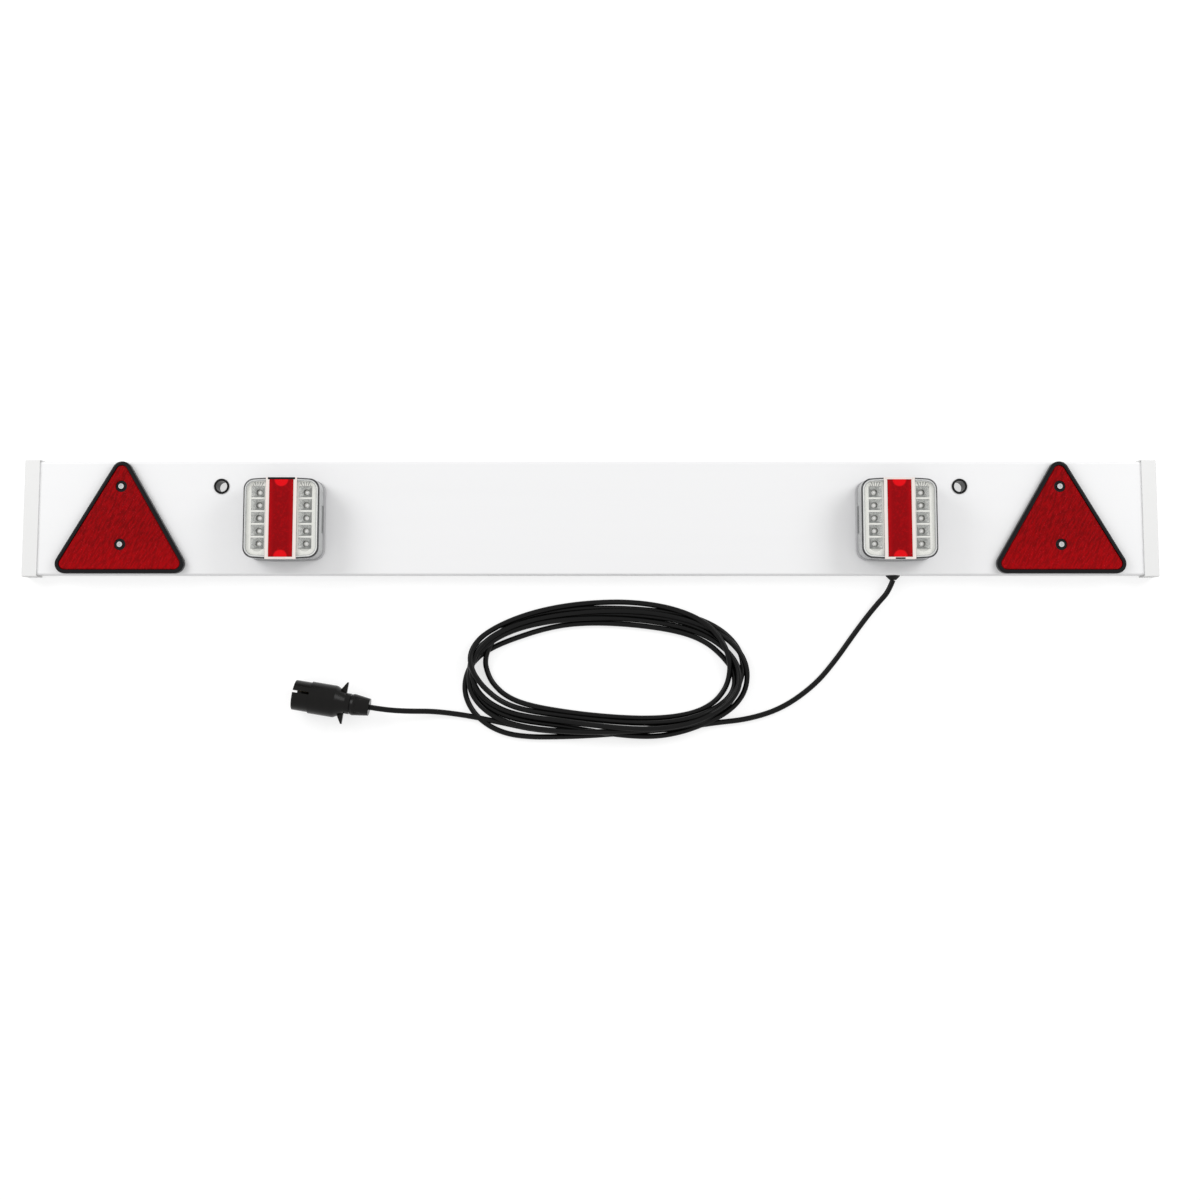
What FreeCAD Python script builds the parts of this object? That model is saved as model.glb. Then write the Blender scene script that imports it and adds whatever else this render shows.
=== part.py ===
import FreeCAD, Part
import math
import os

import Sketcher

# Trailer lighting board, lying on its back as it would on a bench.
# X runs along the board, Y up the board's face and Z out of the face.
# The origin is under the middle of the board, on the plane of its back.

SIZES = {
    # Board: a hollow white extrusion with webs, closed by two end caps
    "board_length": 1370.0,
    "board_height": 138.0,
    "board_depth": 20.0,
    "board_wall": 1.8,
    "board_edge_radius": 3.0,
    "web_wall": 1.5,
    "chamber_count": 6.0,
    "cap_cover": 18.0,
    "cap_wall": 2.0,
    "cap_edge_radius": 1.5,
    "cap_clearance": 0.2,
    "spigot_reach": 10.0,
    "spigot_clearance": 0.3,
    "spigot_wall": 1.6,
    # Strap holes, each lined by a black sleeve
    "strap_inset": 238.5,
    "strap_rise": 38.5,
    "strap_bore_diameter": 13.3,
    "sleeve_diameter": 16.5,
    "sleeve_lip_diameter": 18.5,
    "sleeve_lip_depth": 1.0,
    "sleeve_clearance": 0.1,
    # Reflector triangles
    "reflector_inset": 119.0,
    "reflector_width": 155.4,
    "reflector_height": 135.6,
    "reflector_drop": 67.3,
    "reflector_corner_radius": 12.0,
    "reflector_depth": 8.0,
    "reflector_rim": 4.5,
    "reflector_rim_radius": 2.0,
    "reflector_floor": 2.0,
    "reflector_lens_depth": 5.0,
    "reflector_lens_chamfer": 0.8,
    "reflector_lens_clearance": 0.3,
    "reflector_screw_rise": 35.0,
    "reflector_screw_gap": 70.2,
    "reflector_boss_diameter": 13.4,
    "reflector_boss_rise": 3.4,
    # Cross-recess pan-head screws
    "screw_diameter": 4.0,
    "screw_clearance": 0.2,
    "screw_head_diameter": 8.3,
    "screw_head_depth": 2.6,
    "screw_crown_diameter": 6.4,
    "recess_width": 1.1,
    "recess_span": 4.4,
    "recess_depth": 1.3,
    "reflector_screw_reach": 13.0,
    "lamp_screw_reach": 15.0,
    # Lamps
    "lamp_inset": 319.2,
    "lamp_drop": 3.6,
    "lamp_width": 90.0,
    "lamp_height": 97.0,
    "lamp_corner_radius": 12.5,
    "lamp_bow_radius": 440.0,
    "lamp_depth": 42.0,
    "lamp_foot_lip": 0.8,
    "gasket_depth": 1.0,
    "gasket_inset": 1.0,
    "base_depth": 10.0,
    "base_wall": 2.5,
    "base_floor": 2.0,
    "lamp_screw_spacing": 69.0,
    "lamp_boss_diameter": 10.0,
    "access_hole_diameter": 12.0,
    "lens_wall": 2.2,
    "lens_edge_radius": 1.5,
    "window_length": 33.0,
    "window_height": 13.0,
    "window_rise": 1.5,
    "window_depth": 0.4,
    "circuit_rise": 19.0,
    "circuit_depth": 1.6,
    "circuit_clearance": 0.8,
    "led_diameter": 4.8,
    "led_length": 7.5,
    "led_crown_radius": 2.0,
    "led_hole_clearance": 0.3,
    "led_rows": 5.0,
    "led_pitch": 15.3,
    "column_spacing": 56.2,
    "cell_width": 15.8,
    "cell_height": 13.3,
    "cell_floor": 1.2,
    "cell_slope": 8.0,
    "column_rise": 0.9,
    "end_recess_depth": 1.0,
    "fan_height": 5.2,
    "fan_crown_width": 13.0,
    "bowl_drop": 2.0,
    "tray_gap": 1.3,
    "tray_plate": 1.5,
    "tray_wall": 1.3,
    "tray_clearance": 0.6,
    "strip_width": 36.8,
    "strip_clearance": 0.2,
    "strip_proud": 0.3,
    "strip_overrun": 4.0,
    "reflex_width": 28.2,
    "reflex_height": 91.6,
    "reflex_depth": 2.6,
    "reflex_proud": 0.4,
    "top_bar_width": 32.0,
    "top_bar_height": 2.6,
    "vent_plug_width": 11.3,
    "vent_plug_height": 1.8,
    # Cable, its exit and what it meets inside the board
    "cable_diameter": 6.5,
    "lead_diameter": 5.0,
    "lead_bend_radius": 12.0,
    "lead_clearance": 0.3,
    "exit_flare_diameter": 17.0,
    "exit_tip_diameter": 7.8,
    "exit_reach": 5.4,
    "exit_rim": 0.8,
    "exit_hole_diameter": 12.2,
    "exit_collar_diameter": 15.0,
    "exit_collar_depth": 1.5,
    "junction_length": 34.0,
    "junction_width": 17.0,
    "junction_depth": 13.0,
    "coil_height": 17.0,
    "coil_right": 173.5,
    "coil_top": 85.5,
    "coil_left": 174.5,
    "coil_bottom": 83.5,
    "coil_opening_right": 146.0,
    "coil_opening_top": 51.5,
    "coil_opening_left": 141.0,
    "coil_opening_bottom": 52.0,
    # Seven-pin plug, along its own axis from the open end
    "plug_barrel_diameter": 35.8,
    "plug_barrel_length": 20.0,
    "plug_body_diameter": 38.2,
    "plug_body_end": 50.0,
    "plug_neck_start": 62.0,
    "plug_neck_diameter": 24.8,
    "plug_neck_end": 68.0,
    "plug_thread_diameter": 20.0,
    "plug_thread_end": 82.0,
    "plug_mouth_diameter": 31.0,
    "plug_mouth_depth": 30.0,
    "plug_mouth_edge_radius": 0.8,
    "plug_shoulder_radius": 6.0,
    "plug_back_wall": 3.0,
    "keyway_width": 3.0,
    "keyway_margin": 2.0,
    "keyway_turn": 17.0,
    "wing_span": 50.0,
    "wing_width": 4.0,
    "wing_start": 52.0,
    "wing_tip": 60.5,
    "wing_end": 62.0,
    "wing_root": 1.0,
    "insert_depth": 9.0,
    "insert_clearance": 0.2,
    "contact_diameter": 4.2,
    "contact_reach": 17.0,
    "contact_ring_diameter": 19.0,
    "contact_ring_count": 6.0,
    "nut_start": 69.0,
    "nut_diameter": 25.8,
    "nut_bevel": 1.0,
    "nut_shoulder": 3.0,
    "nut_tip_diameter": 20.4,
    "nut_clearance": 0.3,
    "nut_flute_diameter": 6.0,
    "nut_flute_count": 8.0,
    "nut_flute_reach": 17.0,
    "plug_length": 91.4,
    "seal_depth": 6.0,
}

# The plug lies on the floor with its open end here, turned about its upright axis
PLUG_FRONT = (-354.3, -212.0)
PLUG_TURN = -9.4

# Free cable from the board's edge to the coil: points chosen by hand along the photographed line
BOARD_RUN = [
    (365.8, -74.4, 10.0),
    (360.6, -88.2, 9.0),
    (349.0, -101.0, 6.6),
    (334.5, -118.5, 4.4),
    (316.5, -142.5, 3.4),
    (296.0, -171.0, 3.4),
    (271.0, -200.5, 3.4),
    (232.0, -228.3, 3.4),
    (190.0, -241.8, 3.4),
    (148.0, -246.0, 3.4),
]

# Free cable from the coil to the plug
PLUG_RUN = [
    (-136.0, -239.6, 3.4),
    (-161.0, -235.4, 3.4),
    (-190.0, -232.0, 6.2),
    (-217.0, -231.9, 13.2),
    (-244.40, -230.20, 19.1),
    (-264.13, -226.93, 19.1),
]

# Coil of cable: its middle, and how square each of its corners is, from the upper right leftwards.
# Two is an ellipse's corner, and a larger number a squarer one.
COIL_MIDDLE = (19.0, -183.0)
OUTER_FULLNESS = (2.0, 2.0, 3.4, 2.5)
OPENING_FULLNESS = (2.0, 2.2, 1.85, 2.6)
COIL_CORNERS = 16

doc = FreeCAD.newDocument("TrailerLightingBoard")
sheet = doc.addObject("Spreadsheet::Sheet", "Sizes")


class Measure:
    """A size that knows its number and the formula that the document keeps for it."""

    def __init__(self, number, text=None):
        self.number = float(number)
        self.text = text or repr(float(number))

    @staticmethod
    def of(item):
        """Take a plain number as a size."""
        return item if isinstance(item, Measure) else Measure(item)

    def __add__(self, other):
        other = Measure.of(other)
        return Measure(self.number + other.number, f"({self.text} + {other.text})")

    def __sub__(self, other):
        other = Measure.of(other)
        return Measure(self.number - other.number, f"({self.text} - {other.text})")

    def __mul__(self, other):
        other = Measure.of(other)
        return Measure(self.number * other.number, f"({self.text} * {other.text})")

    def __truediv__(self, other):
        other = Measure.of(other)
        return Measure(self.number / other.number, f"({self.text} / {other.text})")

    def __radd__(self, other):
        return Measure.of(other) + self

    def __rsub__(self, other):
        return Measure.of(other) - self

    def __rmul__(self, other):
        return Measure.of(other) * self

    def __neg__(self):
        return Measure(-self.number, f"(-1 * {self.text})")


class SizeBook:
    """The driving sizes, each in a cell of the document's sheet and readable by name."""

    def __init__(self, table):
        for row, (name, number) in enumerate(table.items(), start=1):
            sheet.set(f"A{row}", name)
            sheet.set(f"B{row}", repr(number))
            sheet.setAlias(f"B{row}", name)
            setattr(self, name, Measure(number, f"Sizes.{name}"))
        doc.recompute()


size = SizeBook(SIZES)


def bind(item, prop, amount):
    """Tie a property to its formula."""
    item.setExpression(prop, Measure.of(amount).text)


def place(item, x=0, y=0, z=0, axis=(0, 0, 1), turn=0.0):
    """Turn an object about an axis through its own origin and put that origin at a point."""
    item.Placement = FreeCAD.Placement(FreeCAD.Vector(), FreeCAD.Rotation(FreeCAD.Vector(*axis), turn))
    for letter, amount in (("x", x), ("y", y), ("z", z)):
        bind(item, f"Placement.Base.{letter}", amount)


def hold(sketch, kind, *where, amount=None):
    """Add a constraint, tied to a formula where it has an amount."""
    if amount is None:
        sketch.addConstraint(Sketcher.Constraint(kind, *where))
        return
    amount = Measure.of(amount)
    index = sketch.addConstraint(Sketcher.Constraint(kind, *where, amount.number))
    sketch.setExpression(f"Constraints[{index}]", amount.text)


def pin_point(sketch, geometry, position, x, y):
    """Hold a point of a sketch at its distances from the sketch's origin."""
    hold(sketch, "DistanceX", -1, 1, geometry, position, amount=x)
    hold(sketch, "DistanceY", -1, 1, geometry, position, amount=y)


def draw_circle(sketch, radius, x=0, y=0):
    """Draw one circle."""
    x, y, radius = Measure.of(x), Measure.of(y), Measure.of(radius)
    centre = FreeCAD.Vector(x.number, y.number)
    ring = sketch.addGeometry(Part.Circle(centre, FreeCAD.Vector(0, 0, 1), radius.number))
    hold(sketch, "Radius", ring, amount=radius)
    pin_point(sketch, ring, 3, x, y)


def draw_polygon(sketch, points):
    """Draw a closed outline of straight lines with every corner held."""
    points = [(Measure.of(x), Measure.of(y)) for x, y in points]
    spots = [FreeCAD.Vector(x.number, y.number) for x, y in points]
    lines = [
        sketch.addGeometry(Part.LineSegment(spot, spots[(index + 1) % len(spots)]))
        for index, spot in enumerate(spots)
    ]
    for index, line in enumerate(lines):
        hold(sketch, "Coincident", line, 2, lines[(index + 1) % len(lines)], 1)
        pin_point(sketch, line, 1, *points[index])


def draw_box(sketch, width, height, x=0, y=0):
    """Draw a rectangle about its middle."""
    left, right = x - 0.5 * width, x + 0.5 * width
    low, high = y - 0.5 * height, y + 0.5 * height
    draw_polygon(sketch, [(left, low), (right, low), (right, high), (left, high)])


def arc_at(centre, radius, start, end):
    """Make an arc about a centre, counter-clockwise from one angle to another."""
    circle = Part.Circle(centre, FreeCAD.Vector(0, 0, 1), radius)
    return Part.ArcOfCircle(circle, start, end)


def chain(sketch, curves):
    """Add curves end to end in a closed smooth outline and return their numbers."""
    numbers = [sketch.addGeometry(curve) for curve in curves]
    for index, number in enumerate(numbers):
        hold(sketch, "Tangent", number, 2, numbers[(index + 1) % len(numbers)], 1)
    return numbers


def draw_rounded_box(sketch, width, height, radius, x=0, y=0):
    """Draw a rectangle with round corners about its middle."""
    x, y = Measure.of(x), Measure.of(y)
    reach_x, reach_y = 0.5 * width - radius, 0.5 * height - radius
    corners = [(1, -1), (1, 1), (-1, 1), (-1, -1)]
    centres = [
        FreeCAD.Vector(x.number + sx * reach_x.number, y.number + sy * reach_y.number) for sx, sy in corners
    ]
    curves = []
    for index, centre in enumerate(centres):
        start = math.pi / 2 * (index - 1)
        arc = arc_at(centre, radius.number, start, start + math.pi / 2)
        following = centres[(index + 1) % 4]
        edge = FreeCAD.Vector(math.cos(start + math.pi / 2), math.sin(start + math.pi / 2)) * radius.number
        curves += [arc, Part.LineSegment(centre + edge, following + edge)]
    numbers = chain(sketch, curves)
    arcs = numbers[0::2]
    hold(sketch, "Radius", arcs[0], amount=radius)
    for arc in arcs[1:]:
        hold(sketch, "Equal", arcs[0], arc)
    pin_point(sketch, arcs[0], 3, x + reach_x, y - reach_y)
    pin_point(sketch, arcs[2], 3, x - reach_x, y + reach_y)
    hold(sketch, "Vertical", numbers[1])
    hold(sketch, "Horizontal", numbers[3])


def draw_lamp_outline(sketch, inset=0):
    """Draw the lamp's outline: straight sides, round corners, top and bottom edges that bow out."""
    radius = size.lamp_corner_radius - inset
    bow = size.lamp_bow_radius - inset
    half_width = 0.5 * size.lamp_width - inset
    bow_centre = 0.5 * size.lamp_height - size.lamp_bow_radius
    reach = half_width - radius
    lift = math.sqrt((bow.number - radius.number) ** 2 - reach.number**2)
    corner_y = bow_centre.number + lift
    lean = math.atan2(lift, reach.number)
    right, left = reach.number, -reach.number
    side = half_width.number
    curves = [
        Part.LineSegment(FreeCAD.Vector(side, -corner_y), FreeCAD.Vector(side, corner_y)),
        arc_at(FreeCAD.Vector(right, corner_y), radius.number, 0, lean),
        arc_at(FreeCAD.Vector(0, bow_centre.number), bow.number, lean, math.pi - lean),
        arc_at(FreeCAD.Vector(left, corner_y), radius.number, math.pi - lean, math.pi),
        Part.LineSegment(FreeCAD.Vector(-side, corner_y), FreeCAD.Vector(-side, -corner_y)),
        arc_at(FreeCAD.Vector(left, -corner_y), radius.number, math.pi, math.pi + lean),
        arc_at(FreeCAD.Vector(0, -bow_centre.number), bow.number, math.pi + lean, 2 * math.pi - lean),
        arc_at(FreeCAD.Vector(right, -corner_y), radius.number, -lean, 0),
    ]
    numbers = chain(sketch, curves)
    right_side, first_corner, top, second_corner, left_side, third_corner, bottom, last_corner = numbers
    hold(sketch, "Radius", first_corner, amount=radius)
    for corner in (second_corner, third_corner, last_corner):
        hold(sketch, "Equal", first_corner, corner)
    hold(sketch, "Radius", top, amount=bow)
    hold(sketch, "Equal", top, bottom)
    hold(sketch, "Vertical", right_side)
    hold(sketch, "Vertical", left_side)
    hold(sketch, "DistanceX", -1, 1, right_side, 1, amount=half_width)
    hold(sketch, "DistanceX", -1, 1, left_side, 1, amount=-half_width)
    for arc, sign in ((top, 1), (bottom, -1)):
        hold(sketch, "PointOnObject", arc, 3, -2)
        hold(sketch, "DistanceY", -1, 1, arc, 3, amount=sign * bow_centre)


def draw_triangle(sketch, inset=0):
    """Draw the reflector's outline: a triangle on its base with round corners."""
    radius = size.reflector_corner_radius - inset
    spread = 0.5 * size.reflector_width - size.reflector_corner_radius
    low = size.reflector_corner_radius - size.reflector_drop
    high = size.reflector_height - size.reflector_drop - size.reflector_corner_radius
    lean = math.atan2(spread.number, high.number - low.number)
    centres = [
        FreeCAD.Vector(spread.number, low.number),
        FreeCAD.Vector(0, high.number),
        FreeCAD.Vector(-spread.number, low.number),
    ]
    angles = [-math.pi / 2, lean, math.pi - lean, 3 * math.pi / 2]
    curves = []
    for index, centre in enumerate(centres):
        end = angles[index + 1]
        edge = FreeCAD.Vector(math.cos(end), math.sin(end)) * radius.number
        curves.append(arc_at(centre, radius.number, angles[index], end))
        curves.append(Part.LineSegment(centre + edge, centres[(index + 1) % 3] + edge))
    numbers = chain(sketch, curves)
    first, apex, last = numbers[0::2]
    hold(sketch, "Radius", first, amount=radius)
    hold(sketch, "Equal", first, apex)
    hold(sketch, "Equal", first, last)
    pin_point(sketch, first, 3, spread, low)
    pin_point(sketch, last, 3, -spread, low)
    hold(sketch, "PointOnObject", apex, 3, -2)
    hold(sketch, "DistanceY", -1, 1, apex, 3, amount=high)


class Piece:
    """One moulded or machined piece, built as a body of sketches and features."""

    def __init__(self, label, x=0, y=0, z=0, axis=(0, 0, 1), turn=0.0):
        self.label = label
        self.body = doc.addObject("PartDesign::Body", label)
        self.body.Label = label
        self.body.AllowCompound = True
        place(self.body, x, y, z, axis, turn)

    def origin_plane(self, role):
        """Find one of the body's own origin planes."""
        return next(item for item in self.body.Origin.OriginFeatures if item.Role == role)

    def sketch(self, role, lift=0):
        """Start a sketch on an origin plane, moved along the plane's own normal."""
        sketch = self.body.newObject("Sketcher::SketchObject", f"{self.label}_sketch")
        sketch.AttachmentSupport = [(self.origin_plane(role), "")]
        sketch.MapMode = "FlatFace"
        bind(sketch, "AttachmentOffset.Base.z", lift)
        return sketch

    def feature(self, kind, sketch, grows):
        """Start a feature, and note the volume before it and whether it should grow."""
        before = self.body.Shape.Volume if self.body.Tip else 0.0
        feature = self.body.newObject(f"PartDesign::{kind}", f"{self.label}_{kind.lower()}")
        feature.Profile = sketch
        return feature, before, grows

    def settle(self, started):
        """Recompute and see that the feature added or removed material as meant."""
        feature, before, grows = started
        doc.recompute()
        change = feature.Shape.Volume - before
        if (change > 0) != grows or abs(change) < 1e-6:
            raise RuntimeError(f"{feature.Name} changed the volume by {change:.3f}")
        return feature

    def pad(self, sketch, length, reverse=False):
        """Add material along the sketch's normal, or against it."""
        started = self.feature("Pad", sketch, True)
        bind(started[0], "Length", length)
        started[0].Reversed = reverse
        return self.settle(started)

    def pocket(self, sketch, depth=None, reverse=False, slope=None):
        """Cut against the sketch's normal, right through where no depth is given."""
        started = self.feature("Pocket", sketch, False)
        if depth is None:
            started[0].Type = "ThroughAll"
        else:
            bind(started[0], "Length", depth)
        if slope is not None:
            bind(started[0], "TaperAngle", slope)
        started[0].Reversed = reverse
        return self.settle(started)

    def spin(self, sketch, axis="H_Axis"):
        """Add a full turn of the sketch about one of its axes."""
        started = self.feature("Revolution", sketch, True)
        started[0].ReferenceAxis = (sketch, [axis])
        started[0].Angle = 360
        return self.settle(started)

    def spin_cut(self, sketch, axis="H_Axis"):
        """Remove a full turn of the sketch about one of its axes."""
        started = self.feature("Groove", sketch, False)
        started[0].ReferenceAxis = (sketch, [axis])
        started[0].Angle = 360
        return self.settle(started)

    def dress(self, kind, wanted, prop, amount):
        """Round or chamfer the edges of the last feature that a rule picks out."""
        base = self.body.Tip
        edges = [f"Edge{number}" for number, edge in enumerate(base.Shape.Edges, start=1) if wanted(edge)]
        if not edges:
            raise RuntimeError(f"{self.label} has no edge for its {kind.lower()}")
        feature = self.body.newObject(f"PartDesign::{kind}", f"{self.label}_{kind.lower()}")
        feature.Base = (base, edges)
        bind(feature, prop, amount)
        doc.recompute()
        return feature

    def fillet(self, wanted, radius):
        """Round the edges that a rule picks out."""
        return self.dress("Fillet", wanted, "Radius", radius)

    def chamfer(self, wanted, width):
        """Bevel the edges that a rule picks out."""
        return self.dress("Chamfer", wanted, "Size", width)

    def row(self, features, sketch, axis, pitch, count):
        """Repeat features in a straight row."""
        pattern = self.body.newObject("PartDesign::LinearPattern", f"{self.label}_row")
        pattern.Originals = features
        pattern.Direction = (sketch, [axis])
        bind(pattern, "Length", pitch * (count - 1))
        bind(pattern, "Occurrences", count)
        self.body.Tip = pattern
        doc.recompute()
        return pattern

    def ring(self, feature, sketch, axis, count):
        """Repeat a feature evenly around an axis."""
        pattern = self.body.newObject("PartDesign::PolarPattern", f"{self.label}_ring")
        pattern.Originals = [feature]
        pattern.Axis = (sketch, [axis])
        pattern.Angle = 360
        bind(pattern, "Occurrences", count)
        self.body.Tip = pattern
        doc.recompute()
        return pattern


def level(height, slack=0.01):
    """Make a rule that picks the edges lying wholly at one height."""
    target = Measure.of(height).number

    def wanted(edge):
        box = edge.BoundBox
        return abs(box.ZMin - target) < slack and abs(box.ZMax - target) < slack

    return wanted


def rim_at(reach_x, radius, slack=0.01):
    """Make a rule that picks the round edge of one radius about X at one place along it."""
    target, reach = Measure.of(reach_x).number, Measure.of(radius).number

    def wanted(edge):
        box = edge.BoundBox
        flat = abs(box.XMin - target) < slack and abs(box.XMax - target) < slack
        return flat and abs(box.ZMax - reach) < slack

    return wanted


nodes = []


def keep(item):
    """List an object as a piece of the finished part."""
    nodes.append(item.body if isinstance(item, Piece) else item)


SIDES = {"left": -1, "right": 1}

inner_length = size.board_length - 2 * size.cap_wall
chamber_width = (
    size.board_height - 2 * size.board_wall - (size.chamber_count - 1) * size.web_wall
) / size.chamber_count
chamber_pitch = chamber_width + size.web_wall
chamber_height = size.board_depth - 2 * size.board_wall
chamber_low = 0.5 * chamber_width + size.board_wall - 0.5 * size.board_height
wiring_y = chamber_low + 2 * chamber_pitch
lamp_x = 0.5 * size.board_length - size.lamp_inset
reflector_x = 0.5 * size.board_length - size.reflector_inset
strap_x = 0.5 * size.board_length - size.strap_inset
screw_hole_radius = 0.5 * size.screw_diameter + size.screw_clearance
reflector_screw_y = [
    size.reflector_screw_rise - size.reflector_drop,
    size.reflector_screw_rise - size.reflector_drop + size.reflector_screw_gap,
]
lamp_screw_y = [-0.5 * size.lamp_screw_spacing, 0.5 * size.lamp_screw_spacing]


def make_board():
    """Build the white extrusion: rounded outside, chambers between webs, and its drilled holes."""
    board = Piece("board_profile")
    middle = 0.5 * size.board_depth
    end = board.sketch("YZ_Plane", -0.5 * inner_length)
    draw_rounded_box(end, size.board_height, size.board_depth, size.board_edge_radius, 0, middle)
    board.pad(end, inner_length)
    hollow = board.sketch("YZ_Plane", 0.5 * inner_length)
    draw_box(hollow, chamber_width, chamber_height, chamber_low, middle)
    chamber = board.pocket(hollow)
    board.row([chamber], hollow, "H_Axis", chamber_pitch, size.chamber_count)

    through = board.sketch("XY_Plane", size.board_depth)
    for side in SIDES.values():
        radius = 0.5 * size.sleeve_diameter + size.sleeve_clearance
        draw_circle(through, radius, side * strap_x, size.strap_rise)
    board.pocket(through)

    front = board.sketch("XY_Plane", size.board_depth)
    back = board.sketch("XY_Plane", 0)
    for side in SIDES.values():
        for y in reflector_screw_y:
            draw_circle(front, screw_hole_radius, side * reflector_x, y)
        for y in lamp_screw_y:
            draw_circle(front, screw_hole_radius, side * lamp_x, y)
            draw_circle(back, 0.5 * size.access_hole_diameter, side * lamp_x, y)
        draw_circle(front, 0.5 * size.lead_diameter + size.lead_clearance, side * lamp_x, wiring_y)
    board.pocket(front, middle)
    board.pocket(back, middle, reverse=True)

    edge = board.sketch("XZ_Plane", 0.5 * size.board_height)
    draw_circle(edge, 0.5 * size.exit_hole_diameter, lamp_x, middle)
    board.pocket(edge, size.board_wall + 0.5 * chamber_width)
    webs = board.sketch("XZ_Plane", 0.5 * size.board_height)
    draw_circle(webs, 0.5 * size.cable_diameter + size.lead_clearance, lamp_x, middle)
    board.pocket(webs, 0.5 * size.board_height + wiring_y)
    keep(board)


def make_end_cap(name, side):
    """Build a push-on end cap: lip over the face, flanges along the edges, spigots in the chambers."""
    turn = 0 if side < 0 else 180
    cap = Piece(f"end_cap_{name}", side * 0.5 * size.board_length, 0, 0, turn=turn)
    height = size.board_height + 2 * size.cap_wall
    depth = size.board_depth + size.cap_wall
    outside = cap.sketch("YZ_Plane", 0)
    draw_box(outside, height, depth, 0, 0.5 * depth)
    cap.pad(outside, size.cap_cover)

    def outer_edge(edge):
        box = edge.BoundBox
        on_back = box.ZMax < 0.01
        on_open_end = box.XMin > size.cap_cover.number - 0.01
        return not on_back and not on_open_end

    cap.fillet(outer_edge, size.cap_edge_radius)
    mouth = cap.sketch("YZ_Plane", size.cap_cover)
    mouth_depth = size.board_depth + size.cap_clearance
    draw_box(mouth, size.board_height + 2 * size.cap_clearance, 2 * mouth_depth, 0, 0)
    cap.pocket(mouth, size.cap_cover - size.cap_wall)
    plug = cap.sketch("YZ_Plane", size.cap_wall)
    spigot_width = chamber_width - 2 * size.spigot_clearance
    spigot_height = chamber_height - 2 * size.spigot_clearance
    draw_box(plug, spigot_width, spigot_height, chamber_low, 0.5 * size.board_depth)
    spigot = cap.pad(plug, size.spigot_reach)
    core = cap.sketch("YZ_Plane", size.cap_wall + size.spigot_reach)
    draw_box(
        core,
        spigot_width - 2 * size.spigot_wall,
        spigot_height - 2 * size.spigot_wall,
        chamber_low,
        0.5 * size.board_depth,
    )
    hollow = cap.pocket(core, size.spigot_reach)
    cap.row([spigot, hollow], plug, "H_Axis", chamber_pitch, size.chamber_count)
    keep(cap)


def make_sleeve(name, side):
    """Build the black sleeve that lines a strap hole, with a lip on the face."""
    sleeve = Piece(f"strap_sleeve_{name}", side * strap_x, size.strap_rise, 0)
    disc = sleeve.sketch("XY_Plane", 0)
    draw_circle(disc, 0.5 * size.sleeve_diameter)
    sleeve.pad(disc, size.board_depth)
    lip = sleeve.sketch("XY_Plane", size.board_depth)
    draw_circle(lip, 0.5 * size.sleeve_lip_diameter)
    sleeve.pad(lip, size.sleeve_lip_depth)
    bore = sleeve.sketch("XY_Plane", size.board_depth + size.sleeve_lip_depth)
    draw_circle(bore, 0.5 * size.strap_bore_diameter)
    sleeve.pocket(bore)
    keep(sleeve)


def make_screws(label, spots, head_z, reach, head_up=True):
    """Build a group of equal cross-recess pan-head screws, heads up or down."""
    direction = 1 if head_up else -1
    solids = []
    for index, (x, y) in enumerate(spots, start=1):
        shank = doc.addObject("Part::Cylinder", f"{label}_shank_{index}")
        bind(shank, "Radius", 0.5 * size.screw_diameter)
        bind(shank, "Height", reach)
        place(shank, x, y, head_z - reach if head_up else head_z)
        head = doc.addObject("Part::Cone", f"{label}_head_{index}")
        bind(head, "Radius1", 0.5 * size.screw_head_diameter)
        bind(head, "Radius2", 0.5 * size.screw_crown_diameter)
        bind(head, "Height", size.screw_head_depth)
        place(head, x, y, head_z, (1, 0, 0), 0 if head_up else 180)
        whole = doc.addObject("Part::Fuse", f"{label}_blank_{index}")
        whole.Base, whole.Tool = head, shank
        crown = head_z + direction * size.screw_head_depth
        low = crown - size.recess_depth if head_up else crown
        bars = []
        for bar_name, length, width in (
            ("across", size.recess_span, size.recess_width),
            ("along", size.recess_width, size.recess_span),
        ):
            bar = doc.addObject("Part::Box", f"{label}_{bar_name}_{index}")
            bind(bar, "Length", length)
            bind(bar, "Width", width)
            bind(bar, "Height", size.recess_depth)
            place(bar, x - 0.5 * length, y - 0.5 * width, low)
            bars.append(bar)
        cross = doc.addObject("Part::Fuse", f"{label}_cross_{index}")
        cross.Base, cross.Tool = bars
        screw = doc.addObject("Part::Cut", f"{label}_screw_{index}")
        screw.Base, screw.Tool = whole, cross
        solids.append(screw)
    group = doc.addObject("Part::Compound", label)
    group.Links = solids
    keep(group)


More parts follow.
